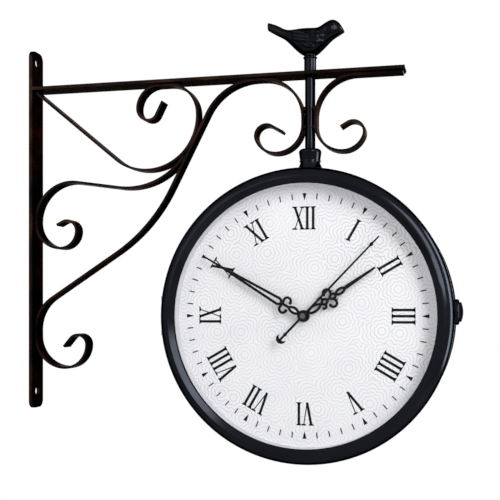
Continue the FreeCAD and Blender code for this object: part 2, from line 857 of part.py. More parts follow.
def drum_band():
    """The sheet-metal band between the two dials, with holes for rod and latch and the hinge notch."""
    back = ("rod_reach", "drum_half_depth", "dial_centre")
    behind = ("rod_reach", "drum_half_depth + 1", "dial_centre")
    below = ("rod_reach", "0", "neck_top - neck_height * 2")
    length = "drum_half_depth + drum_front"
    outer = cylinder("drum_radius", length, FACING["front"], back)
    inner = cylinder("drum_bore", length + " + 2", FACING["front"], behind)
    rod_hole = cylinder("rod_radius + rod_hole_clearance", "neck_height * 2", UPRIGHT, below)
    latch_hole = cylinder(
        "stem_radius + stem_clearance",
        "drum_wall * 6",
        ALONG["x"],
        ("rod_reach + drum_radius - drum_wall * 4", "-latch_level", "dial_centre + latch_height"),
    )
    keep(cut(outer, inner, rod_hole, latch_hole, hinge_notch()), "drum_band")


def drum_space():
    """The round room that the drum fills, cut from what sits on its outside."""
    at = ("rod_reach", "-drum_radius", "dial_centre")
    return cylinder("drum_radius", "drum_radius * 2", ALONG["y"], at)


def hinge_notch():
    """The room that the hinge's knuckles need in the drum's and the door's edge."""
    at = ("rod_reach - (hinge_x)", "-drum_half_depth", "dial_centre - hinge_length / 2 - hinge_notch")
    return cylinder("hinge_radius + hinge_notch", "hinge_length + hinge_notch * 2", UPRIGHT, at)


def bezel(side):
    """A spun rim: crowned front, lip for the glass, step for the drum and a crimped back edge."""
    corners = [
        ("lip_radius", "rim_back"),
        ("rim_outer", "rim_back"),
        ("rim_outer", "drum_half_depth - step_depth"),
        ("step_radius", "drum_half_depth - step_depth"),
        ("step_radius", "drum_half_depth"),
        ("bezel_radius", "drum_half_depth"),
        ("bezel_radius", "shoulder"),
        ("ridge_radius", "ridge", "bezel_crown_radius", 1),
        ("lip_radius + 0.6", "lip_front"),
        ("lip_radius", "lip_front - 0.6"),
        ("lip_radius", "lip_back"),
        ("rim_inner", "lip_back"),
        ("rim_inner", "dial_back"),
        ("lip_radius", "dial_back"),
    ]
    rim = on_side(turned(f"{side}_rim", corners), side)
    if side == "rear":
        return keep(rim, "rear_bezel")
    leaf_room = block(
        "hinge_leaf_reach + hinge_notch",
        "step_depth + hinge_leaf_thickness",
        "hinge_length + hinge_notch * 2",
        (
            "rod_reach - (hinge_x)",
            "-drum_half_depth - hinge_leaf_thickness",
            "dial_centre - hinge_length / 2 - hinge_notch",
        ),
    )
    return keep(cut(rim, hinge_notch(), leaf_room), "front_bezel")


def face(side):
    """The pane, the ring that spaces it from the dial, and the dial plate."""

    def washer(name, inner, low, high):
        corners = [(inner, low), ("glass_radius", low), ("glass_radius", high), (inner, high)]
        keep(on_side(turned(f"{name}_turned", corners), side), f"{side}_{name}")

    washer("glass", "0", "glass_back", "lip_back")
    washer("spacer_ring", "glass_radius - spacer_wall", "dial_face", "glass_back")
    washer("dial", "bush_radius + dial_hole_clearance", "dial_back", "dial_face")


def hinge():
    """A butt hinge at nine o'clock: a leaf on the drum, a leaf in the door's rim, and their pin."""
    axis_x = "rod_reach - (hinge_x)"
    low = "dial_centre - hinge_length / 2"
    middle_low = "dial_centre - hinge_middle / 2"
    outer_length = "(hinge_length - hinge_middle) / 2 - hinge_gap"

    knuckles = [
        cylinder("hinge_radius", outer_length, UPRIGHT, (axis_x, "-drum_half_depth", z))
        for z in (low, "dial_centre + hinge_middle / 2 + hinge_gap")
    ]
    wing = block(
        "drum_wall * 4",
        "hinge_leaf_depth",
        "hinge_length",
        ("rod_reach - drum_radius - hinge_leaf_thickness - 0.4", "-drum_half_depth", low),
    )
    room = cylinder(
        "hinge_radius + hinge_notch",
        "hinge_middle + hinge_gap * 2",
        UPRIGHT,
        (axis_x, "-drum_half_depth", "dial_centre - hinge_middle / 2 - hinge_gap"),
    )
    pin_hole = cylinder("hinge_pin_radius", "hinge_length", UPRIGHT, (axis_x, "-drum_half_depth", low))
    keep(cut(joined(cut(wing, drum_space()), *knuckles), room, pin_hole), "drum_hinge_leaf")

    knuckle = cylinder("hinge_radius", "hinge_middle", UPRIGHT, (axis_x, "-drum_half_depth", middle_low))
    arm = block(
        "hinge_leaf_reach",
        "hinge_leaf_thickness",
        "hinge_middle",
        (axis_x, "-drum_half_depth - hinge_leaf_thickness", middle_low),
    )
    tab = block(
        "hinge_leaf_reach - hinge_radius - hinge_notch",
        "hinge_leaf_thickness",
        "hinge_length",
        (axis_x + " + hinge_radius + hinge_notch", "-drum_half_depth - hinge_leaf_thickness", low),
    )
    run_hole = cylinder(
        "hinge_pin_radius + hinge_clearance",
        "hinge_length",
        UPRIGHT,
        (axis_x, "-drum_half_depth", low),
    )
    keep(cut(joined(knuckle, arm, tab), run_hole), "door_hinge_leaf")

    pin = cylinder("hinge_pin_radius", "hinge_length", UPRIGHT, (axis_x, "-drum_half_depth", low))
    keep(pin, "hinge_pin")


def latch():
    """A round push-button catch at three o'clock: rosette, button with stem and tongue, spring ring."""
    spot = ("rod_reach", "-latch_level", "dial_centre + latch_height")
    bore = "stem_radius + stem_clearance"
    well = "button_radius + button_gap"
    rosette = turned(
        "rosette",
        [
            (bore, "drum_radius - latch_thickness"),
            ("latch_radius", "drum_radius - latch_thickness"),
            ("latch_radius", "latch_face - 1.5"),
            ("latch_radius - 1.5", "latch_face", "1.5", 1),
            (well, "latch_face"),
            (well, "latch_floor"),
            (bore, "latch_floor"),
        ],
    )
    place(rosette, ALONG["x"], *spot)
    keep(cut(rosette, drum_space()), "latch_rosette")

    flange = "drum_bore - stem_flange_gap"
    inner_end = "button_back - stem_length"
    knob = turned(
        "button_turned",
        [
            ("0", inner_end),
            ("stem_radius", inner_end),
            ("stem_radius", flange + " - stem_flange_thickness"),
            ("stem_flange_radius", flange + " - stem_flange_thickness"),
            ("stem_flange_radius", flange),
            ("stem_radius", flange),
            ("stem_radius", "button_back"),
            ("button_radius", "button_back"),
            ("button_radius", "button_back + button_height - button_crown"),
            ("0", "button_back + button_height", "button_dome", 1),
        ],
    )
    place(knob, ALONG["x"], *spot)
    tongue = block(
        "tongue_thickness",
        "rim_back - tongue_gap - latch_level",
        "tongue_width",
        (
            f"rod_reach + {inner_end}",
            "-rim_back + tongue_gap",
            "dial_centre + latch_height - tongue_width / 2",
        ),
    )
    keep(joined(knob, tongue), "latch_button")

    low, high = "latch_floor + 0.02", "button_back - 0.02"
    spring = turned(
        "spring_turned",
        [
            ("stem_radius + button_gap", high + " - spring_thickness"),
            ("button_radius - button_gap", low),
            ("button_radius - button_gap", low + " + spring_thickness"),
            ("stem_radius + button_gap", high),
        ],
    )
    keep(place(spring, ALONG["x"], *spot), "latch_spring")


# Quartz movement, drawn with the dial's three o'clock along x and twelve o'clock along y


def toothed(teeth, module, thickness, level, phase):
    """A spur wheel with straight-flanked teeth, a tooth centred on its phase."""
    pitch = 360 / teeth
    radius = teeth * module / 2
    root, tip = radius - 1.1 * module, radius + 0.65 * module
    points = []
    for number in range(teeth):
        middle = phase + number * pitch
        for share, reach in ((-0.27, root), (-0.07, tip), (0.07, tip), (0.27, root)):
            points.append(Route.spoke(middle + share * pitch) * reach + Z_AXIS * level)
    wire = Part.makePolygon(points + points[:1])
    return Part.Face(wire).extrude(Z_AXIS * thickness)


def meshing_phase(teeth, phase, direction, other):
    """The phase that puts the other wheel's gap against a tooth across the line of centres."""
    share = (direction - phase) * teeth / 360
    return direction + 180 - (0.5 - share) * 360 / other


def arbors():
    """Where each arbor of the movement stands."""
    motion_teeth = MOTION_TEETH["cannon_teeth"] + MOTION_TEETH["motion_wheel_teeth"]
    motion_step = motion_teeth / 2 * value("motion_module")
    module = value("train_module")
    third_step = (TRAIN_TEETH["third_wheel_teeth"] + TRAIN_TEETH["second_pinion_teeth"]) / 2 * module
    step_step = (TRAIN_TEETH["second_wheel_teeth"] + TRAIN_TEETH["step_pinion_teeth"]) / 2 * module
    rotor_step = (TRAIN_TEETH["step_wheel_teeth"] + TRAIN_TEETH["rotor_pinion_teeth"]) / 2 * rotor_module()
    spots = {
        "centre": FreeCAD.Vector(),
        "motion": Route.spoke(MOTION_DIRECTION) * motion_step,
        "third": Route.spoke(THIRD_DIRECTION) * third_step,
        "step": Route.spoke(STEP_DIRECTION) * step_step,
    }
    spots["rotor"] = spots["step"] + Route.spoke(ROTOR_DIRECTION) * rotor_step
    return spots, third_step


def rotor_module():
    """The finest teeth of the train, on the step wheel and the rotor."""
    return value("train_module") * 0.8


def ring_bar(radius, low, high, bore=0.0):
    """A round bar or tube between two levels."""
    bar = Part.makeCylinder(radius, high - low, Z_AXIS * low)
    return bar.cut(Part.makeCylinder(bore, high - low, Z_AXIS * low)) if bore else bar


def gear_shapes():
    """Every wheel of the movement, standing on its arbor and in mesh at rest."""
    spots, third_step = arbors()
    thick, pitch = value("wheel_thickness"), value("layer_pitch")
    over = value("pinion_overlap")
    top = value("case_floor") - 0.4
    layers = [top - pitch * number for number in range(6)]
    fine = value("train_module")
    centre_module = 2 * third_step / (TRAIN_TEETH["centre_wheel_teeth"] + TRAIN_TEETH["third_pinion_teeth"])
    running = value("tube_clearance")
    arbor, minute, hour = (value(n) for n in ("arbor_radius", "minute_tube_radius", "hour_tube_radius"))
    face_level = value("dial_face")
    post_bore = value("post_radius") + running

    def wheel(teeth, module, layer, phase):
        return toothed(teeth, module, thick, layers[layer] - thick, phase)

    def pinion(teeth, module, layer, phase):
        low = layers[layer] - thick - over
        return toothed(teeth, module, thick + over * 2, low, phase)

    def collar(radius, upper, lower):
        return ring_bar(radius, layers[lower] - thick, layers[upper])

    shapes = {}
    teeth = MOTION_TEETH
    motion_phase = meshing_phase(teeth["cannon_teeth"], 0, MOTION_DIRECTION, teeth["motion_wheel_teeth"])
    leaf_phase = meshing_phase(teeth["hour_wheel_teeth"], 0, MOTION_DIRECTION, teeth["motion_pinion_teeth"])
    module = value("motion_module")
    tube = ring_bar(hour, layers[0], face_level + value("hour_hand_level + hand_thickness + arbor_end"))
    hour_bore = ring_bar(minute + running, layers[0] - pitch, face_level + value("minute_hand_level"))
    shapes["hour_wheel"] = wheel(teeth["hour_wheel_teeth"], module, 0, 0).fuse(tube).cut(hour_bore)

    knob_end = value("cover_back - knob_gap - knob_thickness")
    shaft = ring_bar(value("motion_arbor_radius"), knob_end, layers[0])
    shapes["motion_wheel"] = wheel(teeth["motion_wheel_teeth"], module, 1, motion_phase).fuse(
        [pinion(teeth["motion_pinion_teeth"], module, 0, leaf_phase), shaft]
    )

    tube = ring_bar(minute, layers[2], face_level + value("minute_hand_level + hand_thickness + arbor_end"))
    minute_bore = ring_bar(arbor + running, layers[3], face_level + value("second_hand_level"))
    shapes["centre_wheel"] = (
        wheel(TRAIN_TEETH["centre_wheel_teeth"], centre_module, 2, 0)
        .fuse([pinion(teeth["cannon_teeth"], module, 1, 0), collar(minute, 1, 2), tube])
        .cut(minute_bore)
    )

    teeth = TRAIN_TEETH
    third_phase = meshing_phase(teeth["second_pinion_teeth"], 0, THIRD_DIRECTION, teeth["third_wheel_teeth"])
    leaf_phase = meshing_phase(teeth["centre_wheel_teeth"], 0, THIRD_DIRECTION, teeth["third_pinion_teeth"])
    leaves = pinion(teeth["third_pinion_teeth"], centre_module, 2, leaf_phase)
    shapes["third_wheel"] = (
        wheel(teeth["third_wheel_teeth"], fine, 3, third_phase)
        .fuse([leaves, collar(post_bore + 0.15, 2, 3)])
        .cut(ring_bar(post_bore, layers[5], layers[1]))
    )

    shaft = ring_bar(arbor, value("cover_floor"), face_level + value("second_hand_level + hand_thickness"))
    shapes["second_wheel"] = wheel(teeth["second_wheel_teeth"], fine, 4, 0).fuse(
        [pinion(teeth["second_pinion_teeth"], fine, 3, 0), shaft]
    )

    leaf_phase = meshing_phase(teeth["second_wheel_teeth"], 0, STEP_DIRECTION, teeth["step_pinion_teeth"])
    leaves = pinion(teeth["step_pinion_teeth"], fine, 4, leaf_phase)
    shapes["step_wheel"] = (
        wheel(teeth["step_wheel_teeth"], rotor_module(), 5, 0)
        .fuse([leaves, collar(post_bore + 0.15, 4, 5)])
        .cut(ring_bar(post_bore, layers[5] - pitch, layers[3]))
    )

    leaf_phase = meshing_phase(teeth["step_wheel_teeth"], 0, ROTOR_DIRECTION, teeth["rotor_pinion_teeth"])
    magnet_top = layers[5] - thick - over - 0.2
    magnet = ring_bar(value("rotor_radius"), magnet_top - value("rotor_height"), magnet_top)
    neck_bar = ring_bar(arbor + 0.1, magnet_top, layers[5])
    shapes["rotor"] = magnet.fuse(
        [pinion(teeth["rotor_pinion_teeth"], rotor_module(), 5, leaf_phase), neck_bar]
    ).cut(ring_bar(arbor - 0.2 + running, magnet_top - pitch * 2, layers[4]))

    homes = {
        "hour_wheel": "centre",
        "motion_wheel": "motion",
        "centre_wheel": "centre",
        "third_wheel": "third",
        "second_wheel": "centre",
        "step_wheel": "step",
        "rotor": "rotor",
    }
    for name, home in homes.items():
        shapes[name] = moved(shapes[name], spots[home])
    return shapes, spots, layers, magnet_top


def movement_shapes():
    """The fixed pieces of a movement and its wheels."""
    shapes, spots, layers, magnet_top = gear_shapes()
    half, wall = value("movement_width") / 2, value("movement_wall")
    running = value("tube_clearance")
    dial_back, case_back = value("dial_back"), value("case_back")
    cover_back, cover_floor = value("cover_back"), value("cover_floor")
    face_level = value("dial_face")
    bush_bore = value("hour_tube_radius") + running

    def tray(low, high, inset=0.0):
        size = 2 * (half - inset)
        return Part.makeBox(size, size, high - low, FreeCAD.Vector(inset - half, inset - half, low))

    shell = tray(case_back, dial_back).cut(tray(case_back, value("case_floor"), wall))
    bay_top = -value("battery_wall_drop")
    bay_width = 2 * (half - wall)
    bay_corner = FreeCAD.Vector(wall - half, bay_top - wall, case_back)
    bay_wall = Part.makeBox(bay_width, wall, value("case_floor") - case_back, bay_corner)
    bush = ring_bar(value("bush_radius"), value("case_floor"), face_level + value("bush_rise"))
    bush_hole = ring_bar(bush_bore, case_back, face_level + value("bush_rise"))
    shapes["movement_case"] = shell.fuse([bay_wall, bush]).cut(bush_hole)

    lid = tray(cover_back, case_back).cut(tray(cover_floor, case_back, wall))
    window_corner = FreeCAD.Vector(wall - half, wall - half, cover_back)
    window = Part.makeBox(bay_width, half - wall + bay_top - wall, wall * 2, window_corner)
    lid = lid.cut(window)
    posts = []
    for name, radius, top in (
        ("third", value("post_radius"), layers[2] + value("pinion_overlap")),
        ("step", value("post_radius"), layers[4] + value("pinion_overlap")),
        ("rotor", value("arbor_radius") - 0.2, layers[5] + value("pinion_overlap")),
    ):
        posts.append(Part.makeCylinder(radius, top - cover_floor, spots[name] + Z_AXIS * cover_floor))
    motion_hole = Part.makeCylinder(
        value("motion_arbor_radius") + running, wall * 2, spots["motion"] + Z_AXIS * cover_back
    )
    pivot = Part.makeCylinder(value("arbor_radius") + running, wall, Z_AXIS * (cover_floor - wall / 2))
    shapes["movement_cover"] = lid.fuse(posts).cut([motion_hole, pivot])

    nut_top = face_level + value("nut_thickness")
    shapes["fixing_nut"] = ring_bar(value("nut_radius"), face_level, nut_top, value("bush_radius"))

    cell_level = dial_back - value("battery_sink")
    cell_axis = FreeCAD.Vector(-value("battery_length") / 2, -value("battery_drop"), cell_level)
    cell = Part.makeCylinder(value("battery_radius"), value("battery_length"), cell_axis, X_AXIS)
    nub_foot = cell_axis + X_AXIS * value("battery_length")
    nub = Part.makeCylinder(value("battery_radius") * 0.38, value("battery_nub"), nub_foot, X_AXIS)
    shapes["battery"] = cell.fuse(nub)

    shapes["drive_coil"] = drive_coil(spots["rotor"], magnet_top)
    board_size = [value(f"board_{edge}") for edge in ("width", "height", "thickness")]
    board_corner = FreeCAD.Vector(half - wall - board_size[0], bay_top, cover_floor)
    board = Part.makeBox(*board_size, board_corner)
    chip_foot = board_corner + FreeCAD.Vector(board_size[0] / 2, board_size[1] * 0.3, board_size[2])
    chip = Part.makeCylinder(board_size[0] / 4, board_size[2], chip_foot)
    shapes["circuit_board"] = board.fuse(chip)

    knob_low = cover_back - value("knob_gap") - value("knob_thickness")
    grip = toothed(24, value("knob_radius") / 12.75, value("knob_thickness"), knob_low, 0)
    knob = grip.cut(ring_bar(value("motion_arbor_radius"), knob_low, cover_back))
    shapes["setting_knob"] = moved(knob, spots["motion"])
    return shapes


def drive_coil(rotor, magnet_top):
    """The winding on its core and the stator plate around the rotor."""
    level = magnet_top - value("rotor_height") / 2
    thick = value("stator_thickness")
    length, core = value("coil_length"), value("coil_core_radius")
    rise = value("coil_rise")
    hole = value("rotor_radius") + value("stator_air_gap")
    axis = FreeCAD.Vector(-length / 2, rise, level)
    winding = Part.makeCylinder(value("coil_radius"), length, axis, X_AXIS)
    bar = Part.makeCylinder(core, length + core * 6, axis - X_AXIS * core * 3, X_AXIS)
    width = length + core * 6
    low = rotor.y - hole - core * 2
    plate_corner = FreeCAD.Vector(-width / 2, low, level - thick / 2)
    sheet_metal = Part.makeBox(width, rise - low + core, thick, plate_corner)
    window_corner = FreeCAD.Vector(-length / 2, rise - value("coil_radius") - core, level - thick)
    window = Part.makeBox(length, value("coil_radius") * 2 + core, thick * 3, window_corner)
    opening = Part.makeCylinder(hole, thick * 3, FreeCAD.Vector(rotor.x, rotor.y, level - thick))
    return sheet_metal.cut([window, opening]).fuse([bar, winding])


def movement(side, shapes):
    """One movement, behind the dial on its side."""
    for name, shape in shapes.items():
        piece = solid(shape.copy(), f"{side}_{name}")
        keep(on_side(piece, side), f"{side}_{name}")


# Hands, drawn pointing to twelve


def kite(points):
    """A flat outline of straight sides."""
    corners = [FreeCAD.Vector(x, y, 0) for x, y in points]
    return Part.Face(Part.makePolygon(corners + corners[:1]))


def leaf_loop(low, high, half_width):
    """Two bowed wires that meet at both ends, as a pair of routes."""
    span = (high - low) / 2
    radius = (span**2 + half_width**2) / (2 * half_width)
    swing = math.degrees(math.asin(min(span / radius, 1)))
    right = Route((0, low), 90 - swing).roll(radius, 1).turn(swing * 2).pieces
    return [right, mirrored(right)]


def stem(low, high):
    """A straight wire along the hand's middle line."""
    return Route((0, low), 90).run(high - low).pieces


def scroll_pair(root, name):
    """A pair of small curls that leave the hand on both sides, from a root on the right one."""
    lean, turn = value(f"{name}_lean_angle"), value(f"{name}_turn_angle")
    right = Route(root, 90 - lean).run(value(f"{name}_reach"))
    right = right.roll(value(f"{name}_curl"), -1).turn(turn).pieces
    return [right, mirrored(right)]


def curl_end(pieces):
    """Where a route's last arc ends."""
    centre, radius, start, sweep = pieces[-1][1:]
    return centre + Route.spoke(start + sweep) * radius


def hand(wires, curls, flats, bore):
    """A stamped hand: wires, curls with ball ends and pointed flats, joined to a round hub with a hole."""
    thick, wire, ball = value("hand_thickness"), value("hand_wire"), value("hand_ball_radius")
    pieces = [ribbon(route, wire, thick) for route in wires + curls]
    pieces += [Part.makeCylinder(ball, thick, curl_end(route)) for route in curls]
    pieces += [flat.extrude(Z_AXIS * thick) for flat in flats]
    disc = Part.makeCylinder(value("hand_hub_radius"), thick)
    return disc.fuse(pieces).cut(Part.makeCylinder(bore, thick)).removeSplitter()


def tapered_blade(foot, widest, tip, half_width, half_tip):
    """A blade that swells from a point and narrows to its tip."""
    return kite([(0, foot), (half_width, widest), (half_tip, tip), (-half_tip, tip), (-half_width, widest)])


def thorn_pair(x, level):
    """Two small thorns that stand on the large curls, leaning inwards."""
    half, high = value("hour_thorn_width / 2"), level + value("hour_thorn_height")
    corners = [(x - half, level), (x + half, level), (x - half, high)]
    return [kite([(way * across, up) for across, up in corners]) for way in (1, -1)]


def hour_hand():
    """A leaf, two knots with a pair of curls each, thorns, an eye and a blade."""
    half_knot, side, lap = value("hour_knot_length / 2"), value("hour_knot_width / 2"), value("stem_lap")
    lower, upper = value("hour_lower_knot"), value("hour_upper_knot")
    loops = [
        (value("hand_hub_radius - hub_lap"), value("hour_leaf_end"), value("hour_leaf_width / 2")),
        (lower - half_knot, lower + half_knot, side),
        (upper - half_knot, upper + half_knot, side),
        (value("hour_eye_start"), value("hour_eye_end"), value("hour_eye_width / 2")),
    ]
    wires = [wire for loop in loops for wire in leaf_loop(*loop)]
    wires += [stem(below[1] - lap, above[0] + lap) for below, above in zip(loops, loops[1:])]
    curls = scroll_pair((side, lower), "hour_small") + scroll_pair((side, upper), "hour_large")
    foot = value("hour_eye_end - hour_blade_lap")
    halves = (value("hour_blade_width / 2"), value("hour_tip_width / 2"))
    widest = value("hour_eye_end + hour_blade_swell")
    blade = tapered_blade(foot, widest, value("hour_hand_length"), *halves)
    thorns = thorn_pair(side + value("hour_large_reach"), upper)
    return hand(wires, curls, thorns + [blade], value("hour_tube_radius"))


def minute_hand():
    """A leaf on a stem, a pair of curls, two long rails and a pointed end."""
    tip, lap = value("minute_hand_length"), value("minute_blade_lap")
    leaf_end, fork, meet = [value(f"minute_{name}") for name in ("leaf_end", "fork_level", "rail_end")]
    wires = leaf_loop(value("hand_hub_radius - hub_lap"), leaf_end, value("minute_leaf_width / 2"))
    wires.append(stem(leaf_end - value("stem_lap"), fork + value("stem_lap")))
    rail = Route((0, fork), value("minute_fork_angle")).roll(value("minute_fork_radius"), 1)
    rail = rail.leave((value("minute_rail_gap / 2"), meet)).pieces
    wires += [rail, mirrored(rail)]
    curls = scroll_pair((0, value("minute_curl_level")), "minute")
    halves = (value("minute_blade_width / 2"), value("minute_tip_width / 2"))
    blade = tapered_blade(meet - lap, meet - lap / 3, tip, *halves)
    return hand(wires, curls, [blade], value("minute_tube_radius"))


def second_hand():
    """A needle with a lozenge near its tip, a swelling and a crescent on its tail."""
    tip, tail = value("second_hand_length"), value("second_tail_length")
    half, half_tip, half_lozenge = [
        value(f"{name} / 2") for name in ("needle_width", "needle_tip_width", "lozenge_width")
    ]
    needle = kite([(half, 0), (half_tip, tip), (-half_tip, tip), (-half, 0)])
    rod = kite([(half, 0), (half, -tail), (-half, -tail), (-half, 0)])

    def lozenge(low, high):
        middle = (low + high) / 2
        return kite([(0, low), (half_lozenge, middle), (0, high), (-half_lozenge, middle)])

    flats = [needle, rod, lozenge(tip * 0.86, tip * 0.94), lozenge(-tail * 0.86, -tail * 0.62)]
    thick = value("hand_thickness")
    moon, crescent = value("moon_radius"), value("moon_thickness")
    full = Part.makeCylinder(moon, thick, FreeCAD.Vector(0, moon - tail - crescent / 2, 0))
    bite = Part.makeCylinder(moon, thick, FreeCAD.Vector(0, moon - tail + crescent / 2, 0))
    pieces = [flat.extrude(Z_AXIS * thick) for flat in flats]
    boss = Part.makeCylinder(value("second_hub_radius"), thick * 2)
    bore = Part.makeCylinder(value("arbor_radius"), thick)
    return boss.fuse(pieces + [full.cut(bite)]).cut(bore).removeSplitter()


def hand_shapes():
    """The three openwork hands."""
    return {"hour": hour_hand(), "minute": minute_hand(), "second": second_hand()}


def hands(side, shapes):
    """The hands of one dial, at the time of rest."""
    for name, shape in shapes.items():
        level = value(f"dial_face + {name}_hand_level")
        set_hand = solid(moved(shape, Z_AXIS * level, -HAND_ANGLES[name]), f"{side}_{name}_hand")
        keep(on_side(set_hand, side), f"{side}_{name}_hand")


def check(parts):
    """Stop if anything failed to build."""
    faults = [o.Name for o in doc.Objects if {"Invalid", "Error"} & set(o.State)]
    for part in parts:
        if part.Shape.isNull() or not part.Shape.isValid() or not part.Shape.Solids:
            faults.append(part.Label)
    if faults:
        raise RuntimeError("failed: " + ", ".join(faults))


def main():
    wall_strap()
    arm_bar()
    scrolls()
    hanger_rod()
    swivel_collar()
    neck()
    bird_finial()
    drum_band()
    for side in FACING:
        bezel(side)
        face(side)
    hinge()
    latch()
    movement_pieces, hand_pieces = movement_shapes(), hand_shapes()
    for side in FACING:
        movement(side, movement_pieces)
        hands(side, hand_pieces)
    doc.recompute()
    check(NODES)
    os.makedirs("parts", exist_ok=True)
    for part in NODES:
        part.Shape.exportStep(f"parts/{part.Label}.step")
    print(len(NODES), "sub-parts written")


main()
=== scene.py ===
import math

import bpy
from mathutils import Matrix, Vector


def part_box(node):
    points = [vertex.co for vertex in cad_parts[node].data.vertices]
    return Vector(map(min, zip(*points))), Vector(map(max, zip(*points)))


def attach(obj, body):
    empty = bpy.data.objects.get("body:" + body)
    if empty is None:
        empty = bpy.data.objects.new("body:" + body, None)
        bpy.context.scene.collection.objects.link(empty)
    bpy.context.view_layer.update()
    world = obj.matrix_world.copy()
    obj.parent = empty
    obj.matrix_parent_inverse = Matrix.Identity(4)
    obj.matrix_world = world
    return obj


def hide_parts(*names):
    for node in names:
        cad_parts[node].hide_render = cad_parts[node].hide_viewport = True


# Looks of the double-sided clock on its scroll bracket, in metres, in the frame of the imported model.

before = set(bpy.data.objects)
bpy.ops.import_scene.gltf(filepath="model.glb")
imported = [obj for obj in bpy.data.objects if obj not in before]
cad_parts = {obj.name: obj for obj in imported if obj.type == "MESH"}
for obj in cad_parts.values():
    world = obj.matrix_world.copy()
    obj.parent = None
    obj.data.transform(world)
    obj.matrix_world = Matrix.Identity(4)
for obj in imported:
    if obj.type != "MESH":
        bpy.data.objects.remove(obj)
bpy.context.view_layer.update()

MM = 0.001

# Where things are
DIAL_LOW, DIAL_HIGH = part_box("front_dial")
DIAL_CENTRE = (DIAL_LOW + DIAL_HIGH) / 2
DIAL_FACE = {"front": DIAL_LOW.y, "rear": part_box("rear_dial")[1].y}
DIAL_BODY = {"front": "front_door", "rear": "clock_head"}
BIRD_LOW, BIRD_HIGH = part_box("bird_finial")

# Sizes of the print on the dials
PRINT_DEPTH = 0.08 * MM
NUMERAL_RADIUS = 73.3 * MM
NUMERAL_HEIGHT = 17.3 * MM
NUMERALS = ("XII", "I", "II", "III", "IIII", "V", "VI", "VII", "VIII", "IX", "X", "XI")
GLYPH_ADVANCE = {"I": 4.5 * MM, "V": 8.6 * MM, "X": 8.6 * MM}
THICK_STROKE = 1.95 * MM
THIN_STROKE = 0.75 * MM
SERIF_HEIGHT = 0.7 * MM
SERIF_WIDTH = 4.0 * MM
INNER_SERIF_HEIGHT = 0.55 * MM
INNER_SERIF_WIDTH = 2.7 * MM
# From the middle of a V or X to the ends of its strokes, and to the point of a V
STROKE_SPREAD = 2.9 * MM
POINT_OFFSET = 0.3 * MM
MARK_OUTER = 91.9 * MM
MARK_LENGTH = 4.5 * MM
MARK_WIDTH = 0.85 * MM
HOUR_MARK_LENGTH = 5.4 * MM
HOUR_MARK_WIDTH = 3.0 * MM
# Width of an hour mark's inner end as a share of its outer end
HOUR_MARK_TIP = 0.06


# Modelling helpers


def only(*pieces):
    """Selects these objects alone, the first one active."""
    if bpy.context.mode != "OBJECT":
        bpy.ops.object.mode_set(mode="OBJECT")
    bpy.ops.object.select_all(action="DESELECT")
    for piece in pieces:
        piece.select_set(True)
    bpy.context.view_layer.objects.active = pieces[0]


def settle(piece):
    """Puts an object's place, turn and scale into its mesh."""
    only(piece)
    bpy.ops.object.transform_apply(location=True, rotation=True, scale=True)
    return piece


def named(piece, name):
    piece.name = name
    piece.data.name = name
    return piece


def twin(piece):
    """A copy with its own mesh."""
    copy = piece.copy()
    copy.data = piece.data.copy()
    bpy.context.scene.collection.objects.link(copy)
    return copy


def joined(pieces, name):
    only(*pieces)
    bpy.ops.object.join()
    return named(bpy.context.view_layer.objects.active, name)


def bar(width, height, x=0.0, z=0.0):
    """A flat bar of print, standing on the dial's plane."""
    bpy.ops.object.select_all(action="DESELECT")
    bpy.ops.mesh.primitive_cube_add(size=1, location=(x, 0, z))
    block = bpy.context.object
    block.scale = (width, 2 * PRINT_DEPTH, height)
    return settle(block)


def pick(piece, wanted):
    """Opens a piece for editing, with the points selected that are wanted by their place."""
    only(piece)
    bpy.ops.object.mode_set(mode="EDIT")
    bpy.ops.mesh.select_all(action="DESELECT")
    bpy.ops.object.mode_set(mode="OBJECT")
    for vertex in piece.data.vertices:
        vertex.select = wanted(vertex.co)
    bpy.ops.object.mode_set(mode="EDIT")


def shift(piece, above, offset):
    """Moves the upper (above) or the lower points of a bar sideways."""
    middle = sum(vertex.co.z for vertex in piece.data.vertices) / len(piece.data.vertices)
    pick(piece, lambda place: (place.z > middle) == above)
    bpy.ops.transform.translate(value=(offset, 0, 0))
    bpy.ops.object.mode_set(mode="OBJECT")
    return piece


def finish_with(piece, kind, **settings):
    """Adds a modifier and applies it."""
    only(piece)
    modifier = piece.modifiers.new(kind.lower(), kind)
    for key, setting in settings.items():
        setattr(modifier, key, setting)
    bpy.ops.object.modifier_apply(modifier=modifier.name)
    return piece


# Finishes

# The range in which most of a noise pattern lies
PATTERN_LOW, PATTERN_HIGH = 0.3, 0.7
# How much finer the patches of gloss are than those of tint
GLOSS_FINENESS = 3.1


def shader_tree(name):
    """A new material with its nodes: the material, its tree, its shader and its Object coordinates."""
    material = bpy.data.materials.new(name)
    material.use_nodes = True
    tree = material.node_tree
    shader = tree.nodes["Principled BSDF"]
    where = tree.nodes.new("ShaderNodeTexCoord").outputs["Object"]
    return material, tree, shader, where


def noise(tree, where, scale, detail=3.0, stretch=None):
    """A noise pattern, stretched along an axis where asked."""
    if stretch:
        mapping = tree.nodes.new("ShaderNodeMapping")
        mapping.inputs["Scale"].default_value = stretch
        tree.links.new(where, mapping.inputs["Vector"])
        where = mapping.outputs["Vector"]
    texture = tree.nodes.new("ShaderNodeTexNoise")
    texture.inputs["Scale"].default_value = scale
    texture.inputs["Detail"].default_value = detail
    tree.links.new(where, texture.inputs["Vector"])
    return texture.outputs["Fac"]


def ramp(tree, factor, stops):
    """A colour ramp over a pattern; stops are (place, colour)."""
    node = tree.nodes.new("ShaderNodeValToRGB")
    while len(node.color_ramp.elements) < len(stops):
        node.color_ramp.elements.new(0.5)
    for element, (place, colour) in zip(node.color_ramp.elements, stops):
        element.position = place
        element.color = (*colour, 1)
    tree.links.new(factor, node.inputs["Fac"])
    return node.outputs["Color"]


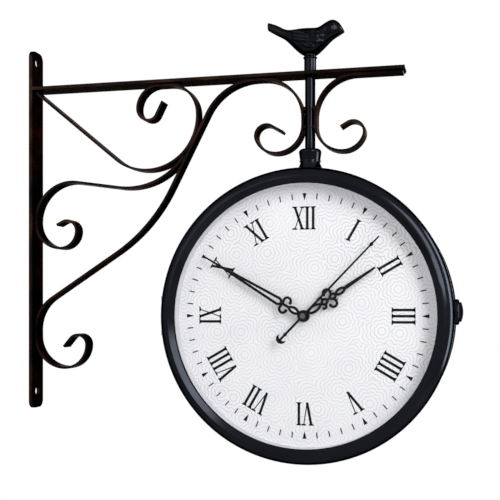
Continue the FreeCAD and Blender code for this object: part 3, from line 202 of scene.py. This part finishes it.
def mapped(tree, value, source, target, kind="LINEAR"):
    """Maps a value from one range to another, and holds it at the ends."""
    node = tree.nodes.new("ShaderNodeMapRange")
    node.interpolation_type = kind
    node.inputs["From Min"].default_value = source[0]
    node.inputs["From Max"].default_value = source[1]
    node.inputs["To Min"].default_value = target[0]
    node.inputs["To Max"].default_value = target[1]
    tree.links.new(value, node.inputs["Value"])
    return node.outputs["Result"]


def spread(tree, pattern, low, high):
    """Maps a noise pattern to a range of values."""
    return mapped(tree, pattern, (PATTERN_LOW, PATTERN_HIGH), (low, high))


def maths(tree, operation, first, second=None):
    """One step of arithmetic; either side may be a number or another node's output."""
    node = tree.nodes.new("ShaderNodeMath")
    node.operation = operation
    for socket, term in zip(node.inputs, (first, second)):
        if isinstance(term, (int, float)):
            socket.default_value = term
        elif term is not None:
            tree.links.new(term, socket)
    return node.outputs["Value"]


def difference(tree, place, centre):
    """The X, Y and Z from a centre to a place; the centre is a point or another node's output."""
    node = tree.nodes.new("ShaderNodeVectorMath")
    node.operation = "SUBTRACT"
    tree.links.new(place, node.inputs[0])
    if isinstance(centre, Vector):
        node.inputs[1].default_value = centre
    else:
        tree.links.new(centre, node.inputs[1])
    apart = tree.nodes.new("ShaderNodeSeparateXYZ")
    tree.links.new(node.outputs["Vector"], apart.inputs["Vector"])
    return apart.outputs


def distance(tree, across, up):
    """How far a place lies from a centre, by its two offsets."""
    squares = [maths(tree, "MULTIPLY", term, term) for term in (across, up)]
    return maths(tree, "SQRT", maths(tree, "ADD", *squares))


def overlaid(tree, strength, ground, colour):
    """A ground with a plain colour laid over it."""
    mix = tree.nodes.new("ShaderNodeMix")
    mix.data_type = "RGBA"
    tree.links.new(strength, mix.inputs["Factor"])
    tree.links.new(ground, mix.inputs["A"])
    mix.inputs["B"].default_value = (*colour, 1)
    return mix.outputs["Result"]


def grain(tree, shader, factor, depth, strength):
    """Fine relief from a pattern."""
    bump = tree.nodes.new("ShaderNodeBump")
    bump.inputs["Distance"].default_value = depth
    bump.inputs["Strength"].default_value = strength
    tree.links.new(factor, bump.inputs["Height"])
    tree.links.new(bump.outputs["Normal"], shader.inputs["Normal"])


def coated(name, tints, patch, rough, relief, metallic=0.0, specular=0.5, sheen=None, stretch=None):
    """A painted, plated or moulded finish: tints in patches, uneven gloss and a fine relief."""
    material, tree, shader, where = shader_tree(name)
    patches = noise(tree, where, patch, 4.0, stretch)
    step = (PATTERN_HIGH - PATTERN_LOW) / (len(tints) - 1)
    stops = [(PATTERN_LOW + step * index, tint) for index, tint in enumerate(tints)]
    tree.links.new(ramp(tree, patches, stops), shader.inputs["Base Color"])
    gloss = noise(tree, where, patch * GLOSS_FINENESS, 3.0, stretch)
    tree.links.new(spread(tree, gloss, *rough), shader.inputs["Roughness"])
    scale, depth, strength = relief
    grain(tree, shader, noise(tree, where, scale, 2.0, stretch), depth, strength)
    shader.inputs["Metallic"].default_value = metallic
    shader.inputs["Specular IOR Level"].default_value = specular
    if sheen:
        shader.inputs["Specular Tint"].default_value = (*sheen, 1)
    return material


def bracket_iron():
    return coated(
        "bracket_iron",
        [(0.004, 0.003, 0.003), (0.010, 0.006, 0.005), (0.024, 0.011, 0.008)],
        patch=45,
        rough=(0.26, 0.4),
        relief=(1400, 0.05 * MM, 0.25),
        metallic=1.0,
        sheen=(0.22, 0.18, 0.16),
    )


def cast_black():
    return coated(
        "cast_black",
        [(0.006, 0.0065, 0.008), (0.010, 0.011, 0.014)],
        patch=90,
        rough=(0.1, 0.17),
        relief=(900, 0.04 * MM, 0.2),
        metallic=1.0,
        sheen=(0.33, 0.335, 0.345),
    )


def case_black():
    return coated(
        "case_black",
        [(0.0085, 0.0095, 0.012), (0.012, 0.0135, 0.017)],
        patch=30,
        rough=(0.13, 0.2),
        relief=(1800, 0.01 * MM, 0.15),
        metallic=1.0,
        sheen=(0.345, 0.35, 0.36),
    )


def hand_black():
    return coated(
        "hand_black",
        [(0.002, 0.002, 0.002), (0.005, 0.005, 0.006)],
        patch=120,
        rough=(0.35, 0.5),
        relief=(2500, 0.02 * MM, 0.2),
        specular=0.1,
    )


def pin_black():
    """The hands' black, with the round end of the middle pin in bare grey metal."""
    pin, edge, grey = 1.9 * MM, 0.25 * MM, (0.11, 0.11, 0.12)
    material = hand_black()
    material.name = "pin_black"
    tree = material.node_tree
    shader = tree.nodes["Principled BSDF"]
    where = tree.nodes["Texture Coordinate"].outputs["Object"]
    offset = difference(tree, where, DIAL_CENTRE)
    reach = distance(tree, offset["X"], offset["Z"])
    inside = mapped(tree, reach, (pin, pin + edge), (1.0, 0.0))
    black = shader.inputs["Base Color"].links[0].from_socket
    tree.links.new(overlaid(tree, inside, black, grey), shader.inputs["Base Color"])
    return material


def print_black():
    return coated(
        "print_black",
        [(0.004, 0.004, 0.004), (0.01, 0.01, 0.011)],
        patch=300,
        rough=(0.5, 0.65),
        relief=(3000, 0.01 * MM, 0.2),
        specular=0.08,
    )


def hinge_steel():
    return coated(
        "hinge_steel",
        [(0.035, 0.036, 0.04), (0.07, 0.072, 0.078)],
        patch=60,
        rough=(0.28, 0.42),
        relief=(900, 0.03 * MM, 0.3),
        metallic=1.0,
        stretch=(1, 1, 0.05),
    )


def latch_bright():
    return coated(
        "latch_bright",
        [(0.5, 0.51, 0.54), (0.68, 0.7, 0.74)],
        patch=140,
        rough=(0.14, 0.24),
        relief=(1500, 0.02 * MM, 0.2),
        metallic=1.0,
    )


def ring_white():
    return coated(
        "ring_white",
        [(0.62, 0.62, 0.65), (0.72, 0.72, 0.75)],
        patch=60,
        rough=(0.5, 0.6),
        relief=(2200, 0.02 * MM, 0.2),
        specular=0.3,
    )


def movement_plastic():
    return coated(
        "movement_plastic",
        [(0.018, 0.018, 0.02), (0.035, 0.035, 0.038)],
        patch=80,
        rough=(0.5, 0.65),
        relief=(2600, 0.05 * MM, 0.4),
        specular=0.35,
    )


def wheel_plastic():
    return coated(
        "wheel_plastic",
        [(0.7, 0.68, 0.6), (0.82, 0.8, 0.73)],
        patch=150,
        rough=(0.35, 0.5),
        relief=(2600, 0.02 * MM, 0.2),
    )


def nut_brass():
    return coated(
        "nut_brass",
        [(0.55, 0.38, 0.14), (0.75, 0.56, 0.25)],
        patch=160,
        rough=(0.2, 0.34),
        relief=(1500, 0.02 * MM, 0.2),
        metallic=1.0,
    )


def magnet_grey():
    return coated(
        "magnet_grey",
        [(0.13, 0.13, 0.135), (0.22, 0.22, 0.23)],
        patch=200,
        rough=(0.45, 0.6),
        relief=(2000, 0.03 * MM, 0.3),
        metallic=0.6,
    )


def coil_copper():
    return coated(
        "coil_copper",
        [(0.45, 0.17, 0.06), (0.66, 0.3, 0.13)],
        patch=90,
        rough=(0.3, 0.42),
        relief=(2400, 0.15 * MM, 0.8),
        metallic=0.9,
        stretch=(1, 0.04, 0.04),
    )


def board_green():
    return coated(
        "board_green",
        [(0.012, 0.07, 0.028), (0.03, 0.14, 0.055)],
        patch=260,
        rough=(0.35, 0.5),
        relief=(1300, 0.04 * MM, 0.3),
    )


def cell_case():
    return coated(
        "cell_case",
        [(0.16, 0.18, 0.24), (0.26, 0.29, 0.36)],
        patch=70,
        rough=(0.28, 0.4),
        relief=(1800, 0.02 * MM, 0.2),
        metallic=0.7,
    )


def pane():
    """Clear glass: mirrors more at a slant, and lets the dial show."""
    material, tree, shader, where = shader_tree("pane")
    smear = noise(tree, where, 25, 2.0)
    tree.links.new(spread(tree, smear, 0.02, 0.05), shader.inputs["Roughness"])
    tints = [(PATTERN_LOW, (0.03, 0.04, 0.04)), (PATTERN_HIGH, (0.05, 0.06, 0.06))]
    tree.links.new(ramp(tree, smear, tints), shader.inputs["Base Color"])
    slant = tree.nodes.new("ShaderNodeLayerWeight")
    slant.inputs["Blend"].default_value = 0.3
    cover = mapped(tree, slant.outputs["Fresnel"], (0.0, 1.0), (0.01, 0.3))
    tree.links.new(cover, shader.inputs["Alpha"])
    return material


def dial_white():
    """White card with a pale printed ground: scalloped rosettes side by side, ringed by fine lines."""
    rosette, ring_step, line, petals, scallop = 25 * MM, 3.0 * MM, 0.42 * MM, 9, 0.16
    ink_grey = (0.58, 0.57, 0.59)
    material, tree, shader, where = shader_tree("dial_white")
    level = tree.nodes.new("ShaderNodeMapping")
    level.inputs["Rotation"].default_value = (math.pi / 2, 0, 0)
    tree.links.new(where, level.inputs["Vector"])
    cells = tree.nodes.new("ShaderNodeTexVoronoi")
    cells.voronoi_dimensions = "2D"
    cells.inputs["Scale"].default_value = 1 / rosette
    cells.inputs["Randomness"].default_value = 0.75
    tree.links.new(level.outputs["Vector"], cells.inputs["Vector"])
    offset = difference(tree, level.outputs["Vector"], cells.outputs["Position"])
    across, up = offset["X"], offset["Y"]
    angle = maths(tree, "ARCTAN2", up, across)
    reach = distance(tree, across, up)
    wave = maths(tree, "ABSOLUTE", maths(tree, "COSINE", maths(tree, "MULTIPLY", angle, petals / 2)))
    swell = maths(tree, "ADD", maths(tree, "MULTIPLY", wave, scallop), 1 - scallop)
    rings = maths(tree, "PINGPONG", maths(tree, "DIVIDE", reach, swell), ring_step / 2)
    ink = mapped(tree, rings, (line * 0.4, line), (1.0, 0.0), "SMOOTHSTEP")
    fade = spread(tree, noise(tree, where, 22, 2.0), 0.35, 1.0)
    strength = maths(tree, "MULTIPLY", ink, fade)
    tints = [(0.35, (0.87, 0.87, 0.9)), (0.65, (0.9, 0.9, 0.92))]
    card = ramp(tree, noise(tree, where, 40, 4.0), tints)
    tree.links.new(overlaid(tree, strength, card, ink_grey), shader.inputs["Base Color"])
    grain(tree, shader, noise(tree, where, 3000, 2.0), 0.01 * MM, 0.2)
    shader.inputs["Roughness"].default_value = 0.7
    shader.inputs["Specular IOR Level"].default_value = 0.2
    return material


# Finishes of the pieces that each dial has its own of
SIDE_FINISH = {
    "movement_case": movement_plastic,
    "movement_cover": movement_plastic,
    "setting_knob": movement_plastic,
    "fixing_nut": nut_brass,
    "circuit_board": board_green,
    "drive_coil": coil_copper,
    "battery": cell_case,
    "rotor": magnet_grey,
    "step_wheel": wheel_plastic,
    "second_wheel": wheel_plastic,
    "third_wheel": wheel_plastic,
    "centre_wheel": wheel_plastic,
    "motion_wheel": wheel_plastic,
    "hour_wheel": wheel_plastic,
    "hour_hand": hand_black,
    "minute_hand": hand_black,
    "second_hand": pin_black,
    "bezel": case_black,
    "glass": pane,
    "spacer_ring": ring_white,
    "dial": dial_white,
}
# Finishes of all other pieces, to which those of both dials are added
NODE_FINISH = {
    "wall_strap": bracket_iron,
    "arm_bar": bracket_iron,
    "upper_scroll": bracket_iron,
    "middle_scroll": bracket_iron,
    "brace_scroll": bracket_iron,
    "end_scroll": bracket_iron,
    "weld_beads": bracket_iron,
    "hanger_rod": cast_black,
    "swivel_collar": cast_black,
    "bird_finial": cast_black,
    "neck": case_black,
    "drum_band": case_black,
    "drum_hinge_leaf": hinge_steel,
    "door_hinge_leaf": hinge_steel,
    "hinge_pin": hinge_steel,
    "latch_rosette": case_black,
    "latch_button": case_black,
    "latch_spring": latch_bright,
}
for dial_side in ("front", "rear"):
    for part, finish in SIDE_FINISH.items():
        NODE_FINISH[f"{dial_side}_{part}"] = finish

made_finishes = {}


def finish_of(maker):
    """The finish made by a function, made once."""
    if maker not in made_finishes:
        made_finishes[maker] = maker()
    return made_finishes[maker]


def wear(piece, maker):
    """Gives a piece one finish, in place of what it had."""
    piece.data.materials.clear()
    piece.data.materials.append(finish_of(maker))
    return piece


# Print on the dials


def serif(x, end):
    """A foot or head bar (end is -1 or 1) with a narrower one inside it, which softens the corner."""
    outer = NUMERAL_HEIGHT / 2 - SERIF_HEIGHT / 2
    inner = NUMERAL_HEIGHT / 2 - SERIF_HEIGHT - INNER_SERIF_HEIGHT / 2
    wide = bar(SERIF_WIDTH, SERIF_HEIGHT, x, end * outer)
    narrow = bar(INNER_SERIF_WIDTH, INNER_SERIF_HEIGHT, x, end * inner)
    return [wide, narrow]


def glyphs():
    """The three letters that the numerals are set from, upright about their middle."""

    def leaning(width, low, high):
        stroke = bar(width, NUMERAL_HEIGHT)
        return shift(shift(stroke, True, high), False, low)

    one = [bar(THICK_STROKE, NUMERAL_HEIGHT)] + serif(0, -1) + serif(0, 1)
    left, right = -STROKE_SPREAD, STROKE_SPREAD
    five = [leaning(THICK_STROKE, POINT_OFFSET, left), leaning(THIN_STROKE, POINT_OFFSET, right)]
    five += serif(left, 1) + serif(right, 1)
    ten = [leaning(THICK_STROKE, right, left), leaning(THIN_STROKE, left, right)]
    ten += serif(left, -1) + serif(left, 1) + serif(right, -1) + serif(right, 1)
    return {"I": joined(one, "glyph_i"), "V": joined(five, "glyph_v"), "X": joined(ten, "glyph_x")}


def numeral_ring():
    """The twelve numerals round the dial's middle, feet to the centre."""
    letters = glyphs()
    ring = []
    for hour, numeral in enumerate(NUMERALS):
        left = -sum(GLYPH_ADVANCE[letter] for letter in numeral) / 2
        placed = []
        for letter in numeral:
            glyph = twin(letters[letter])
            glyph.location = (left + GLYPH_ADVANCE[letter] / 2, 0, NUMERAL_RADIUS)
            placed.append(settle(glyph))
            left += GLYPH_ADVANCE[letter]
        word = joined(placed, f"numeral_{hour}")
        word.rotation_euler = (0, math.radians(30 * hour), 0)
        ring.append(settle(word))
    for letter in letters.values():
        bpy.data.objects.remove(letter)
    return joined(ring, "numeral_ring")


def mark_ring():
    """A wedge at each hour and a short line at each minute between."""
    middle = MARK_OUTER - HOUR_MARK_LENGTH / 2
    tip = (0, 0, MARK_OUTER - HOUR_MARK_LENGTH)
    wedge = bar(HOUR_MARK_WIDTH, HOUR_MARK_LENGTH, 0, middle)
    pick(wedge, lambda place: place.z < middle)
    bpy.ops.transform.resize(value=(HOUR_MARK_TIP, 1, 1), center_override=tip)
    bpy.ops.object.mode_set(mode="OBJECT")
    marks = [wedge]
    for minute in range(1, 5):
        line = bar(MARK_WIDTH, MARK_LENGTH, 0, MARK_OUTER - MARK_LENGTH / 2)
        line.rotation_euler = (0, math.radians(6 * minute), 0)
        marks.append(settle(line))
    ring = joined(marks, "mark_ring")
    only(ring)
    bpy.ops.object.mode_set(mode="EDIT")
    bpy.ops.mesh.select_all(action="SELECT")
    bpy.ops.mesh.spin(steps=12, dupli=True, angle=2 * math.pi, center=(0, 0, 0), axis=(0, 1, 0))
    bpy.ops.mesh.select_all(action="SELECT")
    bpy.ops.mesh.remove_doubles(threshold=0.01 * MM)
    bpy.ops.mesh.normals_make_consistent(inside=False)
    bpy.ops.object.mode_set(mode="OBJECT")
    return ring


def dial_print():
    """Numerals and marks on both dials."""
    for ring, name in ((numeral_ring(), "dial_numerals"), (mark_ring(), "dial_marks")):
        for side in ("front", "rear"):
            copy = named(twin(ring), f"{side}_{name}")
            copy.location = (DIAL_CENTRE.x, DIAL_FACE[side], DIAL_CENTRE.z)
            copy.rotation_euler = (0, 0, 0 if side == "front" else math.pi)
            wear(settle(copy), print_black)
            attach(copy, DIAL_BODY[side])
        bpy.data.objects.remove(ring)


# Bird

# From the socket's foot up to the body, the level of the body's underside, and the body's height
BIRD_PERCH = 12.5 * MM
BIRD_BASE = BIRD_LOW.z + BIRD_PERCH
BIRD_TALL = BIRD_HIGH.z - BIRD_BASE
# Width of the body as a share of the whole bird's, because the feathers stand out from it
BODY_SLIM = 0.93
# Rings along the bird: share of its length, top and bottom as shares of its height, share of its width
BIRD_RINGS = [
    (0.0, 1.01, 0.79, 0.22),
    (0.146, 0.905, 0.60, 0.30),
    (0.236, 0.765, 0.515, 0.42),
    (0.34, 0.765, 0.272, 0.72),
    (0.41, 0.784, 0.126, 0.90),
    (0.50, 0.791, 0.0, 1.0),
    (0.617, 0.777, 0.0, 1.0),
    (0.67, 0.778, 0.085, 0.94),
    (0.74, 0.881, 0.206, 0.80),
    (0.84, 1.0, 0.424, 0.72),
    (0.925, 0.905, 0.519, 0.48),
    (0.965, 0.765, 0.56, 0.22),
    (1.0, 0.635, 0.60, 0.05),
]
# A second ring close to the tail's end keeps that end blunt
TAIL_EDGE = 0.012
# Least square of a flank point's share of the half width
FLANK_LEAST = 0.05
# Rows of feathers: share along the bird, lowest and highest place, how many, and in millimetres the half
# length, the half height and how far they stand out
FEATHER_ROWS = [
    (0.70, 0.36, 0.62, 2, 2.8, 1.7, 1.0),
    (0.64, 0.28, 0.66, 3, 3.4, 1.8, 1.0),
    (0.56, 0.24, 0.62, 3, 4.4, 1.9, 1.0),
    (0.44, 0.36, 0.66, 3, 7.2, 1.5, 0.8),
]
FEATHER_LEAN = math.radians(14)
# A feather is turned along the flank, towards the point this share of the length behind it
FEATHER_STEP = 0.06
# Cheek and eye: places as shares of the length and the height, and half sizes
CHEEK_PLACE = (0.80, 0.66)
CHEEK_SIZE = (4.6 * MM, 1.3 * MM, 3.6 * MM)
CHEEK_LEAN = math.radians(-32)
EYE_PLACE = (0.865, 0.80)
EYE_SIZE = (1.2 * MM, 0.9 * MM, 1.2 * MM)
# Socket over the rod, which runs up into the body, and its rounded rim just under the body
SOCKET_RADIUS = 4.7 * MM
SOCKET_OVERLAP = 8 * MM
RIM_RADIUS = 0.75 * MM
RIM_DROP = 0.6 * MM
# Grid on which the bird's forms are made one cast form
CAST_GRID = 0.32 * MM


def bird_ring(share):
    """A ring's middle and its half height and half width, between the listed ones too."""
    for low, high in zip(BIRD_RINGS, BIRD_RINGS[1:]):
        if share <= high[0]:
            part = (share - low[0]) / (high[0] - low[0])
            top, foot, half = [a + (b - a) * part for a, b in zip(low[1:], high[1:])]
            break
    along = BIRD_LOW.x + share * (BIRD_HIGH.x - BIRD_LOW.x)
    middle = Vector((along, 0, BIRD_BASE + (top + foot) / 2 * BIRD_TALL))
    return middle, (top - foot) / 2 * BIRD_TALL, half * BIRD_HIGH.y * BODY_SLIM


def bird_body():
    """A ring at the tail, drawn out station by station to the beak."""
    middle, tall, wide = bird_ring(0)
    bpy.ops.object.select_all(action="DESELECT")
    bpy.ops.mesh.primitive_circle_add(
        vertices=24, radius=1, fill_type="NGON", location=middle, rotation=(0, math.pi / 2, 0)
    )
    body = bpy.context.object
    body.scale = (tall, wide, 1)
    settle(body)
    bpy.ops.object.mode_set(mode="EDIT")
    bpy.ops.mesh.select_all(action="SELECT")
    for share in [TAIL_EDGE] + [ring[0] for ring in BIRD_RINGS[1:]]:
        next_middle, next_tall, next_wide = bird_ring(share)
        bpy.ops.mesh.extrude_region_move(TRANSFORM_OT_translate={"value": next_middle - middle})
        growth = (1, next_wide / wide, next_tall / tall)
        bpy.ops.transform.resize(value=growth, center_override=next_middle)
        middle, tall, wide = next_middle, next_tall, next_wide
    bpy.ops.mesh.select_all(action="SELECT")
    bpy.ops.mesh.normals_make_consistent(inside=False)
    bpy.ops.object.mode_set(mode="OBJECT")
    return finish_with(body, "SUBSURF", levels=2, render_levels=2)


def lump(place, size, turn=(0, 0, 0)):
    """A small rounded form, as a feather or an eye."""
    bpy.ops.object.select_all(action="DESELECT")
    bpy.ops.mesh.primitive_uv_sphere_add(
        segments=20, ring_count=12, radius=1, location=place, rotation=turn
    )
    made = bpy.context.object
    made.scale = size
    return settle(made)


def on_flank(share, height, side):
    """A point of the bird's flank, its height a share of the whole bird's."""
    middle, tall, wide = bird_ring(share)
    up = BIRD_BASE + height * BIRD_TALL
    depth = math.sqrt(max(FLANK_LEAST, 1 - ((up - middle.z) / tall) ** 2))
    return Vector((middle.x, side * wide * depth, up))


def feathers(side):
    """A folded wing: rows of short scales at the shoulder and long feathers towards the tail."""
    made = []
    for row, (share, low, high, count, length, tall, out) in enumerate(FEATHER_ROWS):
        size = (length * MM, out * MM, tall * MM)
        for index in range(count):
            # Every other row is set half a feather higher, as scales lie
            height = low + (high - low) * (index + 0.5 * (row % 2)) / count
            place = on_flank(share, height, side)
            behind = on_flank(share - FEATHER_STEP, height, side)
            yaw = math.atan2(behind.y - place.y, behind.x - place.x)
            made.append(lump(place, size, (0, FEATHER_LEAN, yaw + math.pi)))
    return made


def bird():
    """The cast bird in one piece with its socket; feathers, cheeks and eyes are raised on its sides."""
    parts = [bird_body()]
    for side in (-1, 1):
        parts += feathers(side)
        parts.append(lump(on_flank(*CHEEK_PLACE, side), CHEEK_SIZE, (0, CHEEK_LEAN, 0)))
        parts.append(lump(on_flank(*EYE_PLACE, side), EYE_SIZE))
    rod_low, rod_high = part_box("hanger_rod")
    foot = Vector(((rod_low.x + rod_high.x) / 2, 0, BIRD_LOW.z))
    height = BIRD_PERCH + SOCKET_OVERLAP
    bpy.ops.mesh.primitive_cylinder_add(
        vertices=48, radius=SOCKET_RADIUS, depth=height, location=foot + Vector((0, 0, height / 2))
    )
    parts.append(settle(bpy.context.object))
    bpy.ops.object.select_all(action="DESELECT")
    bpy.ops.mesh.primitive_torus_add(
        location=foot + Vector((0, 0, BIRD_PERCH - RIM_DROP)),
        major_radius=SOCKET_RADIUS,
        minor_radius=RIM_RADIUS,
        major_segments=48,
    )
    parts.append(settle(bpy.context.object))
    cast = joined(parts, "bird_cast")
    finish_with(cast, "REMESH", mode="VOXEL", voxel_size=CAST_GRID)
    finish_with(cast, "SMOOTH", factor=0.5, iterations=2)
    only(cast)
    bpy.ops.object.shade_smooth()
    wear(cast, cast_black)
    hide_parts("bird_finial")
    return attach(cast, "bracket")


# Scene

FLOOR_SIZE = 2.8
FLOOR_PLACE = (0.15, 0, -0.62)
# The surround's strength where it lights the object, and where it is seen, mirrored or not
SURROUND_LIGHT = 0.58
SURROUND_SEEN = 1.0
# Lamps: name, place, power, width, height, and whether it lights matt surfaces or only adds shine
LAMPS = [
    ("lamp_right", (1.05, -0.95, 0.5), 16, 0.55, 0.9, True),
    ("lamp_left", (-0.5, -1.1, 0.5), 3, 0.9, 0.9, True),
    ("lamp_rear", (0.8, 1.1, 0.6), 10, 0.9, 0.9, True),
    ("lamp_side", (1.3, 0.1, 0.1), 33, 0.4, 1.3, False),
]
# Camera: place, turn towards the wall, lens and sensor in millimetres, upward shift, nearest depth
CAMERA_PLACE = (0.3569, -0.7153, -0.0664)
CAMERA_TURN = math.radians(13.545)
CAMERA_LENS = 67.4
CAMERA_SENSOR = 36
CAMERA_RISE = 0.1143
CAMERA_NEAR = 0.01


def floor_pale():
    return coated(
        "floor_pale",
        [(0.78, 0.78, 0.78), (0.82, 0.82, 0.82)],
        patch=3,
        rough=(0.7, 0.8),
        relief=(60, 0.1 * MM, 0.1),
        specular=0.1,
    )


def studio():
    """Pale floor, white surround, three soft lamps, and a tall one at the side that only adds shine."""
    bpy.ops.object.select_all(action="DESELECT")
    bpy.ops.mesh.primitive_plane_add(size=FLOOR_SIZE, location=FLOOR_PLACE)
    floor = named(bpy.context.object, "floor")
    wear(floor, floor_pale)

    world = bpy.data.worlds.new("surround")
    bpy.context.scene.world = world
    world.use_nodes = True
    tree = world.node_tree
    sky = tree.nodes["Background"]
    sky.inputs["Color"].default_value = (1, 1, 1, 1)
    path = tree.nodes.new("ShaderNodeLightPath")
    seen = maths(tree, "MAXIMUM", path.outputs["Is Camera Ray"], path.outputs["Is Transmission Ray"])
    seen = maths(tree, "MAXIMUM", seen, path.outputs["Is Glossy Ray"])
    strength = mapped(tree, seen, (0.0, 1.0), (SURROUND_LIGHT, SURROUND_SEEN))
    tree.links.new(strength, sky.inputs["Strength"])

    for name, place, power, width, height, lights_matt in LAMPS:
        bpy.ops.object.light_add(type="AREA", location=place)
        lamp = bpy.context.object
        lamp.name = name
        lamp.data.energy = power
        lamp.data.shape = "RECTANGLE"
        lamp.data.size = width
        lamp.data.size_y = height
        aim = Vector((DIAL_CENTRE.x, 0, 0)) - Vector(place)
        lamp.rotation_euler = aim.to_track_quat("-Z", "Y").to_euler()
        lamp.visible_diffuse = lights_matt


def camera():
    """Level, a little to the right of the clock and turned back towards the wall."""
    bpy.ops.object.camera_add(location=CAMERA_PLACE)
    eye = bpy.context.object
    eye.rotation_euler = (math.pi / 2, 0, CAMERA_TURN)
    eye.data.lens = CAMERA_LENS
    eye.data.sensor_width = CAMERA_SENSOR
    eye.data.shift_y = CAMERA_RISE
    eye.data.clip_start = CAMERA_NEAR
    bpy.context.scene.camera = eye


for node, maker in NODE_FINISH.items():
    wear(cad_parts[node], maker)
dial_print()
bird()
studio()
camera()
bpy.context.scene.view_settings.view_transform = "Standard"
